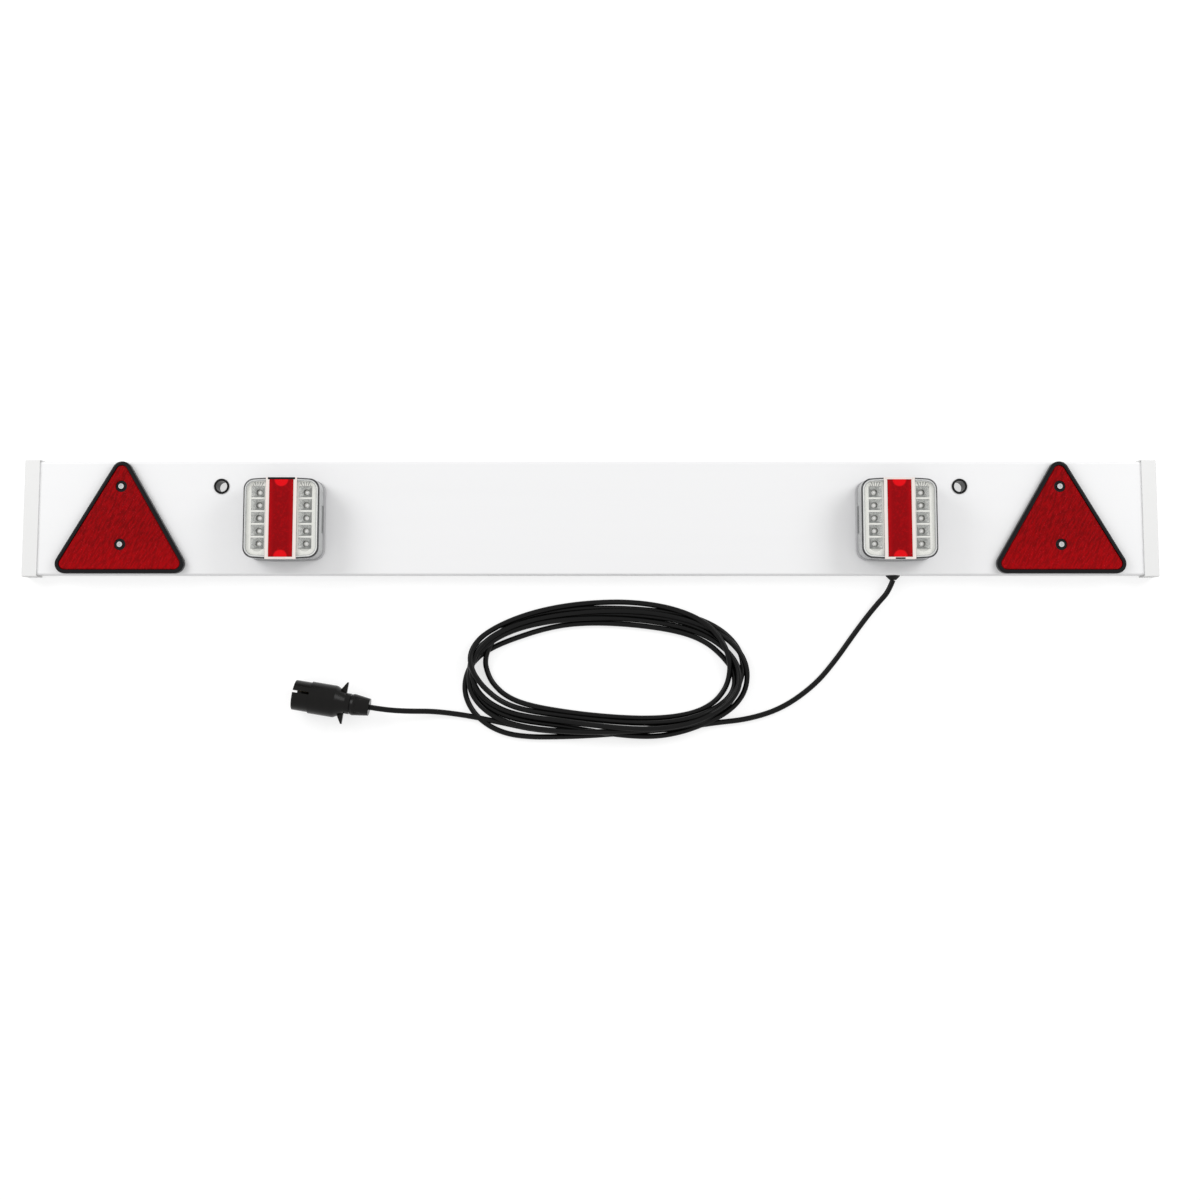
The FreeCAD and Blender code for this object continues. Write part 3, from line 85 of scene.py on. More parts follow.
class Shader:
    """A material's node tree, with short calls for what the finishes need."""

    def __init__(self, name: str) -> None:
        """Start a material that shows its principled shader.

        Args:
            name: The material's name.
        """
        self.material = bpy.data.materials.new(name)
        self.material.use_nodes = True
        self.tree = self.material.node_tree
        self.body = self.tree.nodes["Principled BSDF"]
        self.place = self.node("ShaderNodeTexCoord").outputs["Object"]

    def node(self, kind: str, **settings: object) -> bpy.types.Node:
        """Add a node.

        Args:
            kind: The node's type.
            settings: Attributes to set on it.

        Returns:
            The new node.
        """
        node = self.tree.nodes.new(kind)
        for name, value in settings.items():
            setattr(node, name, value)
        return node

    def feed(self, target: Socket, source: object) -> None:
        """Link a socket into another, or set the other to a plain value.

        Args:
            target: The socket that takes the value.
            source: A socket, a number or a tuple.
        """
        if isinstance(source, Socket):
            self.tree.links.new(source, target)
        else:
            target.default_value = source

    def give(self, name: str, source: object) -> None:
        """Feed one input of the principled shader.

        Args:
            name: The input's name.
            source: A socket, a number or a tuple.
        """
        self.feed(self.body.inputs[name], source)

    def centred(self, middle: Vector, turn: float = 0.0) -> Socket:
        """Give the place measured from a middle, turned about the upright axis.

        Args:
            middle: The point that becomes the pattern's origin.
            turn: How far the pattern is turned, in radians.

        Returns:
            The mapped place.
        """
        mapping = self.node("ShaderNodeMapping", vector_type="TEXTURE")
        mapping.inputs["Location"].default_value = middle
        mapping.inputs["Rotation"].default_value = (0, 0, turn)
        self.feed(mapping.inputs["Vector"], self.place)
        return mapping.outputs["Vector"]

    def stretched(self, place: Socket, scale: Point) -> Socket:
        """Stretch a pattern by its own amount along each axis.

        Args:
            place: The place to stretch.
            scale: The factor for each axis.

        Returns:
            The stretched place.
        """
        mapping = self.node("ShaderNodeMapping", vector_type="POINT")
        mapping.inputs["Scale"].default_value = scale
        self.feed(mapping.inputs["Vector"], place)
        return mapping.outputs["Vector"]

    def noise(self, place: Socket, grain: float, detail: float = 3.0) -> Socket:
        """Make a cloudy pattern.

        Args:
            place: Where the pattern is read.
            grain: The size of its spots, in metres.
            detail: How many finer layers it has.

        Returns:
            A value from 0 to 1.
        """
        noise = self.node("ShaderNodeTexNoise")
        self.feed(noise.inputs["Vector"], place)
        noise.inputs["Scale"].default_value = 1 / grain
        noise.inputs["Detail"].default_value = detail
        return noise.outputs["Fac"]

    def split(self, place: Socket) -> tuple[Socket, ...]:
        """Give the three parts of a vector."""
        parts = self.node("ShaderNodeSeparateXYZ")
        self.feed(parts.inputs["Vector"], place)
        return tuple(parts.outputs)

    def facing(self) -> tuple[Socket, ...]:
        """Give the three parts of the direction that the surface faces."""
        return self.split(self.node("ShaderNodeNewGeometry").outputs["Normal"])

    def math(self, operation: str, *values: object) -> Socket:
        """Work out one step of arithmetic.

        Args:
            operation: The name of the step.
            values: The sockets or numbers that it takes.

        Returns:
            The result.
        """
        step = self.node("ShaderNodeMath", operation=operation)
        for socket, value in zip(step.inputs, values):
            self.feed(socket, value)
        return step.outputs[0]

    def apart(self, value: Socket, point: float) -> Socket:
        """Give how far a value lies from a point, on either side of it."""
        return self.math("ABSOLUTE", self.math("SUBTRACT", value, point))

    def hypot(self, first: Socket, second: Socket) -> Socket:
        """Give the distance that two steps at right angles make."""
        squares = [self.math("POWER", part, 2.0) for part in (first, second)]
        return self.math("SQRT", self.math("ADD", *squares))

    def between(self, value: Socket, low: float, high: float) -> Socket:
        """Give a smooth step from 0 to 1 as a value goes from low to high.

        Args:
            value: The socket to read.
            low: Where the step starts.
            high: Where it ends; it may be the lower number.

        Returns:
            A value from 0 to 1.
        """
        step = self.node("ShaderNodeMapRange", interpolation_type="SMOOTHSTEP")
        self.feed(step.inputs["Value"], value)
        rising = low < high
        step.inputs["From Min"].default_value = low if rising else high
        step.inputs["From Max"].default_value = high if rising else low
        step.inputs["To Min"].default_value = 0.0 if rising else 1.0
        step.inputs["To Max"].default_value = 1.0 if rising else 0.0
        return step.outputs["Result"]

    def blend(self, amount: Socket, first: object, second: object) -> Socket:
        """Mix two colours.

        Args:
            amount: The second colour's share.
            first: A colour or a socket.
            second: A colour or a socket.

        Returns:
            The mixed colour.
        """
        mix = self.node("ShaderNodeMix", data_type="RGBA")
        self.feed(mix.inputs[0], amount)
        for socket, colour in ((mix.inputs[6], first), (mix.inputs[7], second)):
            self.feed(socket, colour if isinstance(colour, Socket) else (*colour, 1.0))
        return mix.outputs[2]

    def bump(self, height: Socket, depth: float, strength: float = 1.0) -> None:
        """Raise the surface by a pattern.

        Args:
            height: The pattern.
            depth: How deep it is, in metres.
            strength: How much of it shows.
        """
        bump = self.node("ShaderNodeBump")
        bump.inputs["Strength"].default_value = strength
        bump.inputs["Distance"].default_value = depth
        self.feed(bump.inputs["Height"], height)
        self.give("Normal", bump.outputs["Normal"])


@dataclass(frozen=True)
class Moulded:
    """Moulded or extruded plastic, foam or rubber, with faint mottling and grain."""

    name: str
    colour: Colour
    roughness: float = 0.4
    shine: float = 0.5
    mottle: float = 0.08
    grain: float = 0.6 * MM
    grain_depth: float = 0.03 * MM
    streak: Point = (1.0, 1.0, 1.0)
    # glow is painted light: an emission that makes a part glow although it gives no light of its own.
    glow: float = 0.0
    cloud_grains: float = 25.0
    smear_grains: float = 9.0
    smear: float = 0.25

    def material(self) -> bpy.types.Material:
        """Make the material."""
        shader = Shader(self.name)
        # Painted light: the part glows in its own colour at the glow strength.
        shader.give("Emission Color", (*self.colour, 1.0))
        shader.give("Emission Strength", self.glow)
        place = shader.stretched(shader.place, self.streak)
        cloud = shader.noise(place, self.cloud_grains * self.grain)
        darker = tuple((1 - self.mottle) * part for part in self.colour)
        shader.give("Base Color", shader.blend(cloud, self.colour, darker))
        smears = shader.noise(place, self.smear_grains * self.grain)
        spread = self.smear * self.roughness
        smoothest = (1 - self.smear / 2) * self.roughness
        shader.give("Roughness", shader.math("MULTIPLY_ADD", smears, spread, smoothest))
        shader.give("Specular IOR Level", self.shine)
        shader.bump(shader.noise(place, self.grain), self.grain_depth)
        return shader.material


@dataclass(frozen=True)
class Plated:
    """Plated or turned metal with fine tool marks."""

    name: str
    colour: Colour
    roughness: float = 0.22
    grain: float = 0.25 * MM
    mark_detail: float = 4.0
    mark_shade: float = 0.8
    mark_depth: float = 0.02 * MM

    def material(self) -> bpy.types.Material:
        """Make the material."""
        shader = Shader(self.name)
        marks = shader.noise(shader.place, self.grain, self.mark_detail)
        dull = tuple(self.mark_shade * part for part in self.colour)
        shader.give("Base Color", shader.blend(marks, self.colour, dull))
        shader.give("Metallic", 1.0)
        shader.give("Roughness", self.roughness)
        shader.bump(marks, self.mark_depth)
        return shader.material


@dataclass(frozen=True)
class PrismRed:
    """Red plastic with rows of small prisms behind its face, as on the triangles, with painted reflections
    and glints.
    """

    name: str
    # deep is the red's own colour; bright is the red of the painted reflections on it.
    deep: Colour = (0.17, 0.0003, 0.001)
    bright: Colour = (0.42, 0.0006, 0.003)
    # The colour of the painted glints on the prism ridges.
    painted_glint: Colour = (0.72, 0.02, 0.04)
    roughness: float = 0.2
    shine: float = 0.06
    pitch: float = 1.6 * MM
    lean: float = math.radians(62)
    ridge_step: Span = (-0.6, 0.9)
    ridge_share: float = 0.5
    ridge_depth: float = 0.05 * MM
    ridge_strength: float = 0.5
    # The streak and low edge fields place the painted reflections.
    streak_stretch: Point = (1.0, 0.22, 1.0)
    streak_grain: float = 2.2 * MM
    streak_step: Span = (0.34, 0.66)
    streak_share: float = 0.7
    low_edge_step: Span = (-14 * MM, -63 * MM)
    glint_grain: float = 1.3 * MM
    glint_step: Span = (0.60, 0.72)
    painted_glint_share: float = 0.45

    def material(self, middle: Vector) -> bpy.types.Material:
        """Make the material about the triangle's middle.

        Args:
            middle: The middle of the reflector's box.

        Returns:
            The finished material.
        """
        shader = Shader(self.name)
        leaning = shader.centred(middle, self.lean - math.pi / 2)
        across, _, _ = shader.split(leaning)
        wave = shader.math("SINE", shader.math("MULTIPLY", across, 2 * math.pi / self.pitch))
        ridges = shader.between(wave, *self.ridge_step)
        # Painted reflection: bright streaks across the prisms, and more of it towards the lower edge.
        bands = shader.noise(shader.stretched(leaning, self.streak_stretch), self.streak_grain)
        reflection_streaks = shader.between(bands, *self.streak_step)
        _, up, _ = shader.split(shader.centred(middle))
        low_edge = shader.between(up, *self.low_edge_step)
        low_part = shader.math("MULTIPLY", low_edge, 1 - self.streak_share)
        level = shader.math("MULTIPLY_ADD", reflection_streaks, self.streak_share, low_part)
        # The prism rows are a real bump; their darker grooves in the colour are painted shade.
        lines = shader.math("MULTIPLY_ADD", ridges, self.ridge_share, 1 - self.ridge_share)
        ground = shader.blend(shader.math("MULTIPLY", level, lines), self.deep, self.bright)
        # Painted glints: bright specks on the prism ridges.
        spots = shader.noise(shader.place, self.glint_grain, 1.0)
        glint_mask = shader.between(spots, *self.glint_step)
        strength = shader.math("MULTIPLY", glint_mask, shader.math("MULTIPLY", ridges, self.painted_glint_share))
        shader.give("Base Color", shader.blend(strength, ground, self.painted_glint))
        shader.give("Roughness", self.roughness)
        shader.give("Specular IOR Level", self.shine)
        shader.bump(ridges, self.ridge_depth, self.ridge_strength)
        return shader.material


@dataclass(frozen=True)
class StripRed:
    """Red strip of a lamp, with painted highlights along its sides and in a round spot at each end."""

    name: str
    deep: Colour = (0.25, 0.001, 0.003)
    # side and spot are the reds of the painted highlights; side also colours the random mottle.
    side: Colour = (0.50, 0.002, 0.005)
    spot: Colour = (0.72, 0.004, 0.008)
    roughness: float = 0.2
    shine: float = 0.06
    half_width: float = 14.1 * MM
    half_height: float = 45.8 * MM
    spot_step: Span = (9.2 * MM, 6.8 * MM)
    cloud_grain: float = 6 * MM
    mottle_grain: float = 2.6 * MM
    mottle_step: Span = (0.45, 0.70)
    mottle_share: float = 0.35
    stipple_pitch: float = 1.6 * MM
    stipple_depth: float = 0.08 * MM
    stipple_strength: float = 0.4

    def material(self, middle: Vector) -> bpy.types.Material:
        """Make the material about the strip's middle.

        Args:
            middle: The middle of the strip's box.

        Returns:
            The finished material.
        """
        shader = Shader(self.name)
        place = shader.centred(middle)
        across, up, _ = shader.split(place)
        sideways = shader.math("ABSOLUTE", across)
        # Painted highlights: a sheen along the sides, broken up by a cloud, and a round spot at each end.
        edge = shader.between(sideways, self.half_width / 2, self.half_width)
        from_end = shader.math("SUBTRACT", self.half_height, shader.math("ABSOLUTE", up))
        glow = shader.between(shader.hypot(sideways, from_end), *self.spot_step)
        lit_edge = shader.math("MULTIPLY", edge, shader.noise(place, self.cloud_grain))
        spots = shader.between(shader.noise(place, self.mottle_grain, 2.0), *self.mottle_step)
        mottle = shader.math("MULTIPLY", spots, self.mottle_share)
        ground = shader.blend(shader.math("MAXIMUM", lit_edge, mottle), self.deep, self.side)
        shader.give("Base Color", shader.blend(glow, ground, self.spot))
        shader.give("Roughness", self.roughness)
        shader.give("Specular IOR Level", self.shine)
        stipple = shader.node("ShaderNodeTexVoronoi")
        shader.feed(stipple.inputs["Vector"], place)
        shader.feed(stipple.inputs["Scale"], 1 / self.stipple_pitch)
        shader.bump(stipple.outputs["Distance"], self.stipple_depth, self.stipple_strength)
        return shader.material


@dataclass(frozen=True)
class ClearFront:
    """Clear lens: see-through on its flat face, milky in its walls, with painted shade on its rounded rim.

    A field that ends in inset is a distance in from the lens's outline, and the first and
    second numbers of a pair say where a mark starts to show and where it shows in full.
    """

    name: str
    face: Colour = (0.86, 0.88, 0.86)
    wall: Colour = (0.62, 0.63, 0.63)
    # rim is painted shade; window is the grey of the pane and of the painted shadow line.
    rim: Colour = (0.03, 0.03, 0.033)
    window: Colour = (0.36, 0.37, 0.37)
    band: Colour = (0.92, 0.93, 0.92)
    roughness: float = 0.08
    face_cover: float = 0.04
    wall_cover: float = 0.80
    rim_cover: float = 0.90
    band_cover: float = 0.55
    line_cover: float = 0.6
    skim_cover: float = 0.35
    skim_blend: float = 0.25
    corner: float = 12.5 * MM
    bow_radius: float = 440 * MM
    wall_tilt: Span = (0.30, 0.10)
    flat_tilt: Span = (0.90, 0.985)
    below_top: Span = (-2.4 * MM, -2.0 * MM)
    above_foot: Span = (0.3 * MM, 0.1 * MM)
    rim_inset: Span = (1.9 * MM, 1.6 * MM)
    band_inset: Span = (3.2 * MM, 2.9 * MM)
    line_inset: float = 3.6 * MM
    line_half_width: Span = (0.6 * MM, 0.3 * MM)
    pane_rise: float = 8.0 * MM
    pane_half_depth: Span = (0.7 * MM, 0.6 * MM)
    pane_half_length: Span = (16.8 * MM, 16.2 * MM)
    pane_half_height: Span = (6.8 * MM, 6.3 * MM)
    wall_grain: float = 12 * MM
    wall_shade: float = 0.88
    ripple_grain: float = 14 * MM
    ripple_depth: float = 0.05 * MM
    ripple_strength: float = 0.4

    def inset(self, shader: Shader, place: tuple[Socket, ...], lens_box: Corners) -> Socket:
        """Measure how far inside the lens's outline a point lies.

        Args:
            shader: The node tree to add to.
            place: The point's sockets along the board, up its face and out of it.
            lens_box: The lens's lowest and highest corners.

        Returns:
            The distance from the outline, whose corners are round and whose ends bow out.
        """
        low, high = lens_box
        middle, half = (low + high) / 2, (high - low) / 2
        sideways = shader.apart(place[0], middle.x)
        upwards = shader.apart(place[1], middle.y)
        bow = shader.math("DIVIDE", shader.math("POWER", sideways, 2.0), 2 * self.bow_radius)
        past_x = shader.math("SUBTRACT", sideways, half.x - self.corner)
        past_y = shader.math("SUBTRACT", shader.math("ADD", upwards, bow), half.y - self.corner)
        reach = shader.hypot(*(shader.math("MAXIMUM", past, 0.0) for past in (past_x, past_y)))
        inner = shader.math("MINIMUM", shader.math("MAXIMUM", past_x, past_y), 0.0)
        return shader.math("SUBTRACT", self.corner, shader.math("ADD", reach, inner))

    def pane(self, shader: Shader, place: tuple[Socket, ...], lens_box: Corners, side: Side) -> Socket:
        """Mark the grey pane in the wall that faces the board's middle.

        Args:
            shader: The node tree to add to.
            place: The point's sockets along the board, up its face and out of it.
            lens_box: The lens's lowest and highest corners.
            side: Which lamp it is.

        Returns:
            One on the pane, and nought away from it.
        """
        low, high = lens_box
        across, up, rise = place
        inner_x = high.x if side is Side.LEFT else low.x
        beside = shader.between(shader.apart(across, inner_x), *self.pane_half_depth)
        along = shader.between(shader.apart(up, (low.y + high.y) / 2), *self.pane_half_length)
        tall = shader.between(shader.apart(rise, low.z + self.pane_rise), *self.pane_half_height)
        return shader.math("MULTIPLY", beside, shader.math("MULTIPLY", along, tall))

    def material(self, lens_box: Corners, side: Side) -> bpy.types.Material:
        """Make the material for one lamp's lens.

        Args:
            lens_box: The lens's lowest and highest corners.
            side: Which lamp it is.

        Returns:
            The finished material.
        """
        low, high = lens_box
        shader = Shader(f"{self.name}_{side.word}")
        place = shader.split(shader.place)
        rise = place[2]
        upright = shader.math("ABSOLUTE", shader.facing()[2])
        near_face = shader.between(rise, *(high.z + step for step in self.below_top))
        inset = self.inset(shader, place, lens_box)
        flat = shader.between(upright, *self.flat_tilt)
        # Painted shade: a dark band on the rounded rim, for the dark look of its curved clear edge.
        brim = shader.between(inset, *self.rim_inset)
        edge = shader.math("MAXIMUM", brim, shader.math("SUBTRACT", 1.0, flat))
        rim = shader.math("MULTIPLY", near_face, edge)
        band = shader.math("MULTIPLY", near_face, shader.between(inset, *self.band_inset))
        # Painted shadow: a thin grey line for the shaded gap between the tray and the lens wall.
        thin = shader.between(shader.apart(inset, self.line_inset), *self.line_half_width)
        line = shader.math("MULTIPLY", near_face, thin)
        foot = shader.between(rise, *(low.z + step for step in self.above_foot))
        solid = shader.math("MAXIMUM", shader.between(upright, *self.wall_tilt), foot)
        cloud = shader.noise(shader.place, self.wall_grain, 2.0)
        walls = shader.blend(cloud, self.wall, tuple(self.wall_shade * part for part in self.wall))
        colour = shader.blend(solid, self.face, walls)
        pane = self.pane(shader, place, lens_box, side)
        for mark, shown in ((pane, self.window), (band, self.band), (line, self.window), (rim, self.rim)):
            colour = shader.blend(mark, colour, shown)
        shader.give("Base Color", colour)
        skim = shader.node("ShaderNodeLayerWeight")
        skim.inputs["Blend"].default_value = self.skim_blend
        cover = shader.math("MAXIMUM", shader.math("MULTIPLY", solid, self.wall_cover), self.face_cover)
        for part, most in (
            (rim, self.rim_cover),
            (band, self.band_cover),
            (line, self.line_cover),
            (skim.outputs["Facing"], self.skim_cover),
        ):
            cover = shader.math("MAXIMUM", cover, shader.math("MULTIPLY", part, most))
        shader.give("Alpha", cover)
        shader.give("Roughness", self.roughness)
        ripples = shader.noise(shader.place, self.ripple_grain, 1.0)
        shader.bump(ripples, self.ripple_depth, self.ripple_strength)
        return shader.material


@dataclass(frozen=True)
class CellGrid:
    """How the lights of a lamp and their funnels stand, in two columns."""

    rows: int = 5
    pitch: float = 15.3 * MM
    column_offset: float = 28.1 * MM
    column_rise: float = 0.9 * MM

    def rise(self, row: int) -> float:
        """Give how far above the tray's middle a row stands, counted from the lowest."""
        return (row - (self.rows - 1) / 2) * self.pitch + self.column_rise


GRID = CellGrid()


@dataclass(frozen=True)
class BrightCell:
    """Bright stippled funnel round one light, in painted light and shade, with a painted shadow in its
    throat.
    """

    name: str
    # bright and dark are the painted lit and shaded walls; ring is the painted shadow in the throat.
    bright: Colour = (0.97, 0.98, 0.95)
    dark: Colour = (0.17, 0.175, 0.17)
    ring: Colour = (0.02, 0.02, 0.02)
    metallic: float = 0.15
    roughness: float = 0.3
    stipple_grain: float = 1.3 * MM
    stipple_step: Span = (0.40, 0.60)
    stipple_share: float = 0.5
    stipple_depth: float = 0.12 * MM
    stipple_strength: float = 0.6
    light_from: Span = (-0.8, -0.6)
    lit_step: Span = (-1.0, 0.4)
    rim_drop: Span = (0.9 * MM, 0.4 * MM)
    rim_shade: float = 0.5
    throat_share: Span = (0.76, 0.84)

    def material(self, side: Side, top: float, depth: float) -> bpy.types.Material:
        """Make the material for one lamp's funnels.

        Args:
            side: Which lamp it is; the outer and upper walls get the brightest painted light.
            top: How high the funnels' rims lie.
            depth: How deep the funnels are.

        Returns:
            The finished material.
        """
        shader = Shader(f"{self.name}_{side.word}")
        # The stipple is a real bump; its light and dark specks in the colour are painted reflections.
        grains = shader.noise(shader.place, self.stipple_grain, 2.0)
        stipple = shader.between(grains, *self.stipple_step)
        # Painted light: walls that face the outer and upper side are lit, the others shaded.
        across, up, _ = shader.facing()
        sideways = shader.math("MULTIPLY", across, self.light_from[0] * side.value)
        leaning = shader.math("MULTIPLY_ADD", up, self.light_from[1], sideways)
        lit = shader.between(leaning, *self.lit_step)
        dots = shader.math("MULTIPLY_ADD", stipple, self.stipple_share, 1 - self.stipple_share)
        _, _, rise = shader.split(shader.place)
        # Painted shade at the rim, and a near-black painted shadow ring in the throat round the light.
        rim = shader.between(rise, *(top - drop for drop in self.rim_drop))
        throat = shader.between(rise, *(top - share * depth for share in self.throat_share))
        past_rim = shader.math("MULTIPLY_ADD", rim, -self.rim_shade, 1.0)
        shown = shader.math("MULTIPLY", shader.math("MULTIPLY", lit, dots), past_rim)
        walls = shader.blend(shown, self.dark, self.bright)
        shader.give("Base Color", shader.blend(throat, walls, self.ring))
        shader.give("Metallic", self.metallic)
        shader.give("Roughness", self.roughness)
        shader.bump(stipple, self.stipple_depth, self.stipple_strength)
        return shader.material


@dataclass(frozen=True)
class CellTray:
    """Cream tray, with a fan of fine rays above each column of cells and a grey bowl below it."""

    name: str
    cream: Colour = (0.87, 0.87, 0.82)
    shade: Colour = (0.22, 0.22, 0.21)
    roughness: float = 0.3
    cell_half: float = 6.7 * MM
    soft: float = 0.2 * MM
    soft_share: float = 0.95
    fan_height: float = 5.2 * MM
    fan_half_width: float = 6.5 * MM
    fan_crown: float = 0.3 * MM
    fan_shade: float = 0.75
    rays: float = 22.0
    ray_step: Span = (-0.4, 0.4)
    bowl_drop: float = 2.0 * MM
    bowl_radius: float = 8.0 * MM
    bowl_shade: float = 0.4
    cloud_grain: float = 12 * MM
    cloud_shade: float = 0.04

    def fan(self, shader: Shader, aside: Socket, from_top: Socket) -> Socket:
        """Draw the rays above a column.

        Args:
            shader: The node tree to add to.
            aside: How far beside the column's middle a point lies.
            from_top: How far above the highest light it lies.

        Returns:
            One on a ray, and nought away from it.
        """
        turned = shader.math("MULTIPLY", shader.math("ARCTAN2", aside, from_top), self.rays)
        rays = shader.between(shader.math("SINE", turned), *self.ray_step)
        width = self.fan_half_width
        beside = shader.between(shader.math("ABSOLUTE", aside), width, self.soft_share * width)
        crown = self.cell_half + self.fan_height
        above_cell = shader.between(from_top, self.cell_half - self.soft, self.cell_half)
        below_crown = shader.between(from_top, crown, crown - self.fan_crown)
        above = shader.math("MULTIPLY", above_cell, below_crown)
        return shader.math("MULTIPLY", rays, shader.math("MULTIPLY", beside, above))

    def bowl(self, shader: Shader, aside: Socket, from_foot: Socket) -> Socket:
        """Draw the bowl below a column.

        Args:
            shader: The node tree to add to.
            aside: How far beside the column's middle a point lies.
            from_foot: How far above the lowest light it lies.

        Returns:
            One in the bowl, and nought outside it.
        """
        below = shader.between(from_foot, self.soft - self.cell_half, -self.cell_half)
        reach = shader.hypot(aside, shader.math("ADD", from_foot, self.bowl_drop))
        round_part = shader.between(reach, self.bowl_radius, self.soft_share * self.bowl_radius)
        return shader.math("MULTIPLY", below, round_part)

    def material(self, middle: Vector) -> bpy.types.Material:
        """Make the material about the tray's middle.

        Args:
            middle: The middle of the tray's box.

        Returns:
            The finished material.
        """
        shader = Shader(self.name)
        across, up, _ = shader.split(shader.centred(middle))
        aside = shader.math("SUBTRACT", shader.math("ABSOLUTE", across), GRID.column_offset)
        from_top = shader.math("SUBTRACT", up, GRID.rise(GRID.rows - 1))
        from_foot = shader.math("SUBTRACT", up, GRID.rise(0))
        fan = shader.math("MULTIPLY", self.fan(shader, aside, from_top), self.fan_shade)
        bowl = shader.math("MULTIPLY", self.bowl(shader, aside, from_foot), self.bowl_shade)
        cloud = shader.math("MULTIPLY", shader.noise(shader.place, self.cloud_grain), self.cloud_shade)
        amount = shader.math("MAXIMUM", shader.math("MAXIMUM", fan, bowl), cloud)
        shader.give("Base Color", shader.blend(amount, self.cream, self.shade))
        shader.give("Roughness", self.roughness)
        return shader.material


@dataclass(frozen=True)
class Circuit:
    """Green circuit board with paler copper lands."""

    name: str
    board: Colour = (0.02, 0.13, 0.05)
    land: Colour = (0.10, 0.28, 0.12)
    land_pitch: float = 12 * MM
    roughness: float = 0.35

    def material(self) -> bpy.types.Material:
        """Make the material."""
        shader = Shader(self.name)
        grid = shader.node("ShaderNodeTexBrick")
        shader.feed(grid.inputs["Vector"], shader.place)
        grid.inputs["Scale"].default_value = 1 / self.land_pitch
        shader.give("Base Color", shader.blend(grid.outputs["Fac"], self.board, self.land))
        shader.give("Roughness", self.roughness)
        return shader.material


WHITE_BOARD = Moulded(
    "white_board_plastic",
    (0.84, 0.84, 0.845),
    roughness=0.32,
    shine=0.4,
    mottle=0.02,
    grain=0.8 * MM,
    grain_depth=0.01 * MM,
    streak=(0.04, 1.0, 1.0),
)
WHITE_CAP = Moulded("white_cap_plastic", (0.76, 0.76, 0.755), roughness=0.42, shine=0.4, mottle=0.02)
BLACK_PLASTIC = Moulded(
    "black_tray_plastic", (0.004, 0.004, 0.005), roughness=0.24, shine=0.16, mottle=0.2
)
BLACK_SLEEVE = Moulded(
    "black_sleeve_plastic", (0.004, 0.004, 0.004), roughness=0.3, shine=0.14, mottle=0.2
)
BLACK_RUBBER = Moulded(
    "black_rubber_grommet", (0.006, 0.006, 0.006), roughness=0.55, shine=0.15, mottle=0.2
)
GASKET_FOAM = Moulded(
    "gasket_foam_rubber",
    (0.03, 0.03, 0.03),
    roughness=0.9,
    shine=0.2,
    mottle=0.3,
    grain=0.5 * MM,
    grain_depth=0.1 * MM,
)
CABLE_JACKET = Moulded(
    "cable_jacket_rubber",
    (0.003, 0.003, 0.003),
    roughness=0.3,
    shine=0.15,
    mottle=0.25,
    grain=0.5 * MM,
    grain_depth=0.02 * MM,
)
PLUG_PLASTIC = Moulded(
    "plug_black_plastic",
    (0.005, 0.0045, 0.004),
    roughness=0.22,
    shine=0.16,
    mottle=0.5,
    grain=0.3 * MM,
    grain_depth=0.05 * MM,
)
LAMP_BASE = Moulded("lamp_base_plastic", (0.42, 0.42, 0.43), mottle=0.06)
STRIP_EDGE = Moulded("strip_edge_plastic", (0.82, 0.74, 0.70), roughness=0.3, mottle=0.06)
# Painted light: the LED domes glow faintly, to look brighter than the lamps alone make them.
LED_DOME = Moulded(
    "led_dome_resin", (0.90, 0.90, 0.88), roughness=0.12, shine=0.6, mottle=0.04, glow=0.35
)
SCREW_STEEL = Plated("screw_plated_steel", (0.62, 0.62, 0.62))
CONTACT_BRASS = Plated("contact_turned_brass", (0.80, 0.62, 0.30), roughness=0.25)


def paint(node: str, material: bpy.types.Material) -> None:
    """Give a node of the frame its finish.

    Args:
        node: The node's name.
        material: The finish to show on it.
    """
    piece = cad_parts[node]
    piece.data.materials.clear()
    piece.data.materials.append(material)
    LOG.info("%s wears %s", node, material.name)


def add_piece(
    name: str, mesh: bmesh.types.BMesh, material: bpy.types.Material
) -> bpy.types.Object:
    """Make a finished piece of a mesh, riding with the part.

    Args:
        name: The piece's name.
        mesh: Its shape, in place; it is freed.
        material: Its finish.

    Returns:
        The new object.
    """
    data = bpy.data.meshes.new(name)
    mesh.to_mesh(data)
    mesh.free()
    data.materials.append(material)
    piece = bpy.data.objects.new(name, data)
    bpy.context.scene.collection.objects.link(piece)
    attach(piece, ROOT)
    LOG.info("%s has %d faces", name, len(data.polygons))
    return piece


@dataclass
class BoardBody:
    """The white board with its caps, sleeves and inner leads."""

    def dress(self) -> None:
        """Give each of its nodes a finish."""
        board, cap, sleeve = WHITE_BOARD.material(), WHITE_CAP.material(), BLACK_SLEEVE.material()
        rubber, jacket = BLACK_RUBBER.material(), CABLE_JACKET.material()
        paint("board_profile", board)
        paint("exit_grommet", rubber)
        paint("junction_block", sleeve)
        for node in ("main_lead", "lamp_tail_lead", "link_lead"):
            paint(node, jacket)
        for side in Side:
            paint(f"end_cap_{side.word}", cap)
            paint(f"strap_sleeve_{side.word}", sleeve)


@dataclass
class Reflector:
    """One red triangle in its black tray."""

    side: Side

    def dress(self) -> None:
        """Give each of its nodes a finish."""
        word = self.side.word
        lens = f"reflector_lens_{word}"
        paint(f"reflector_tray_{word}", BLACK_PLASTIC.material())
        paint(lens, PrismRed(f"reflector_red_{word}").material(box_middle(lens)))
        paint(f"reflector_screws_{word}", SCREW_STEEL.material())


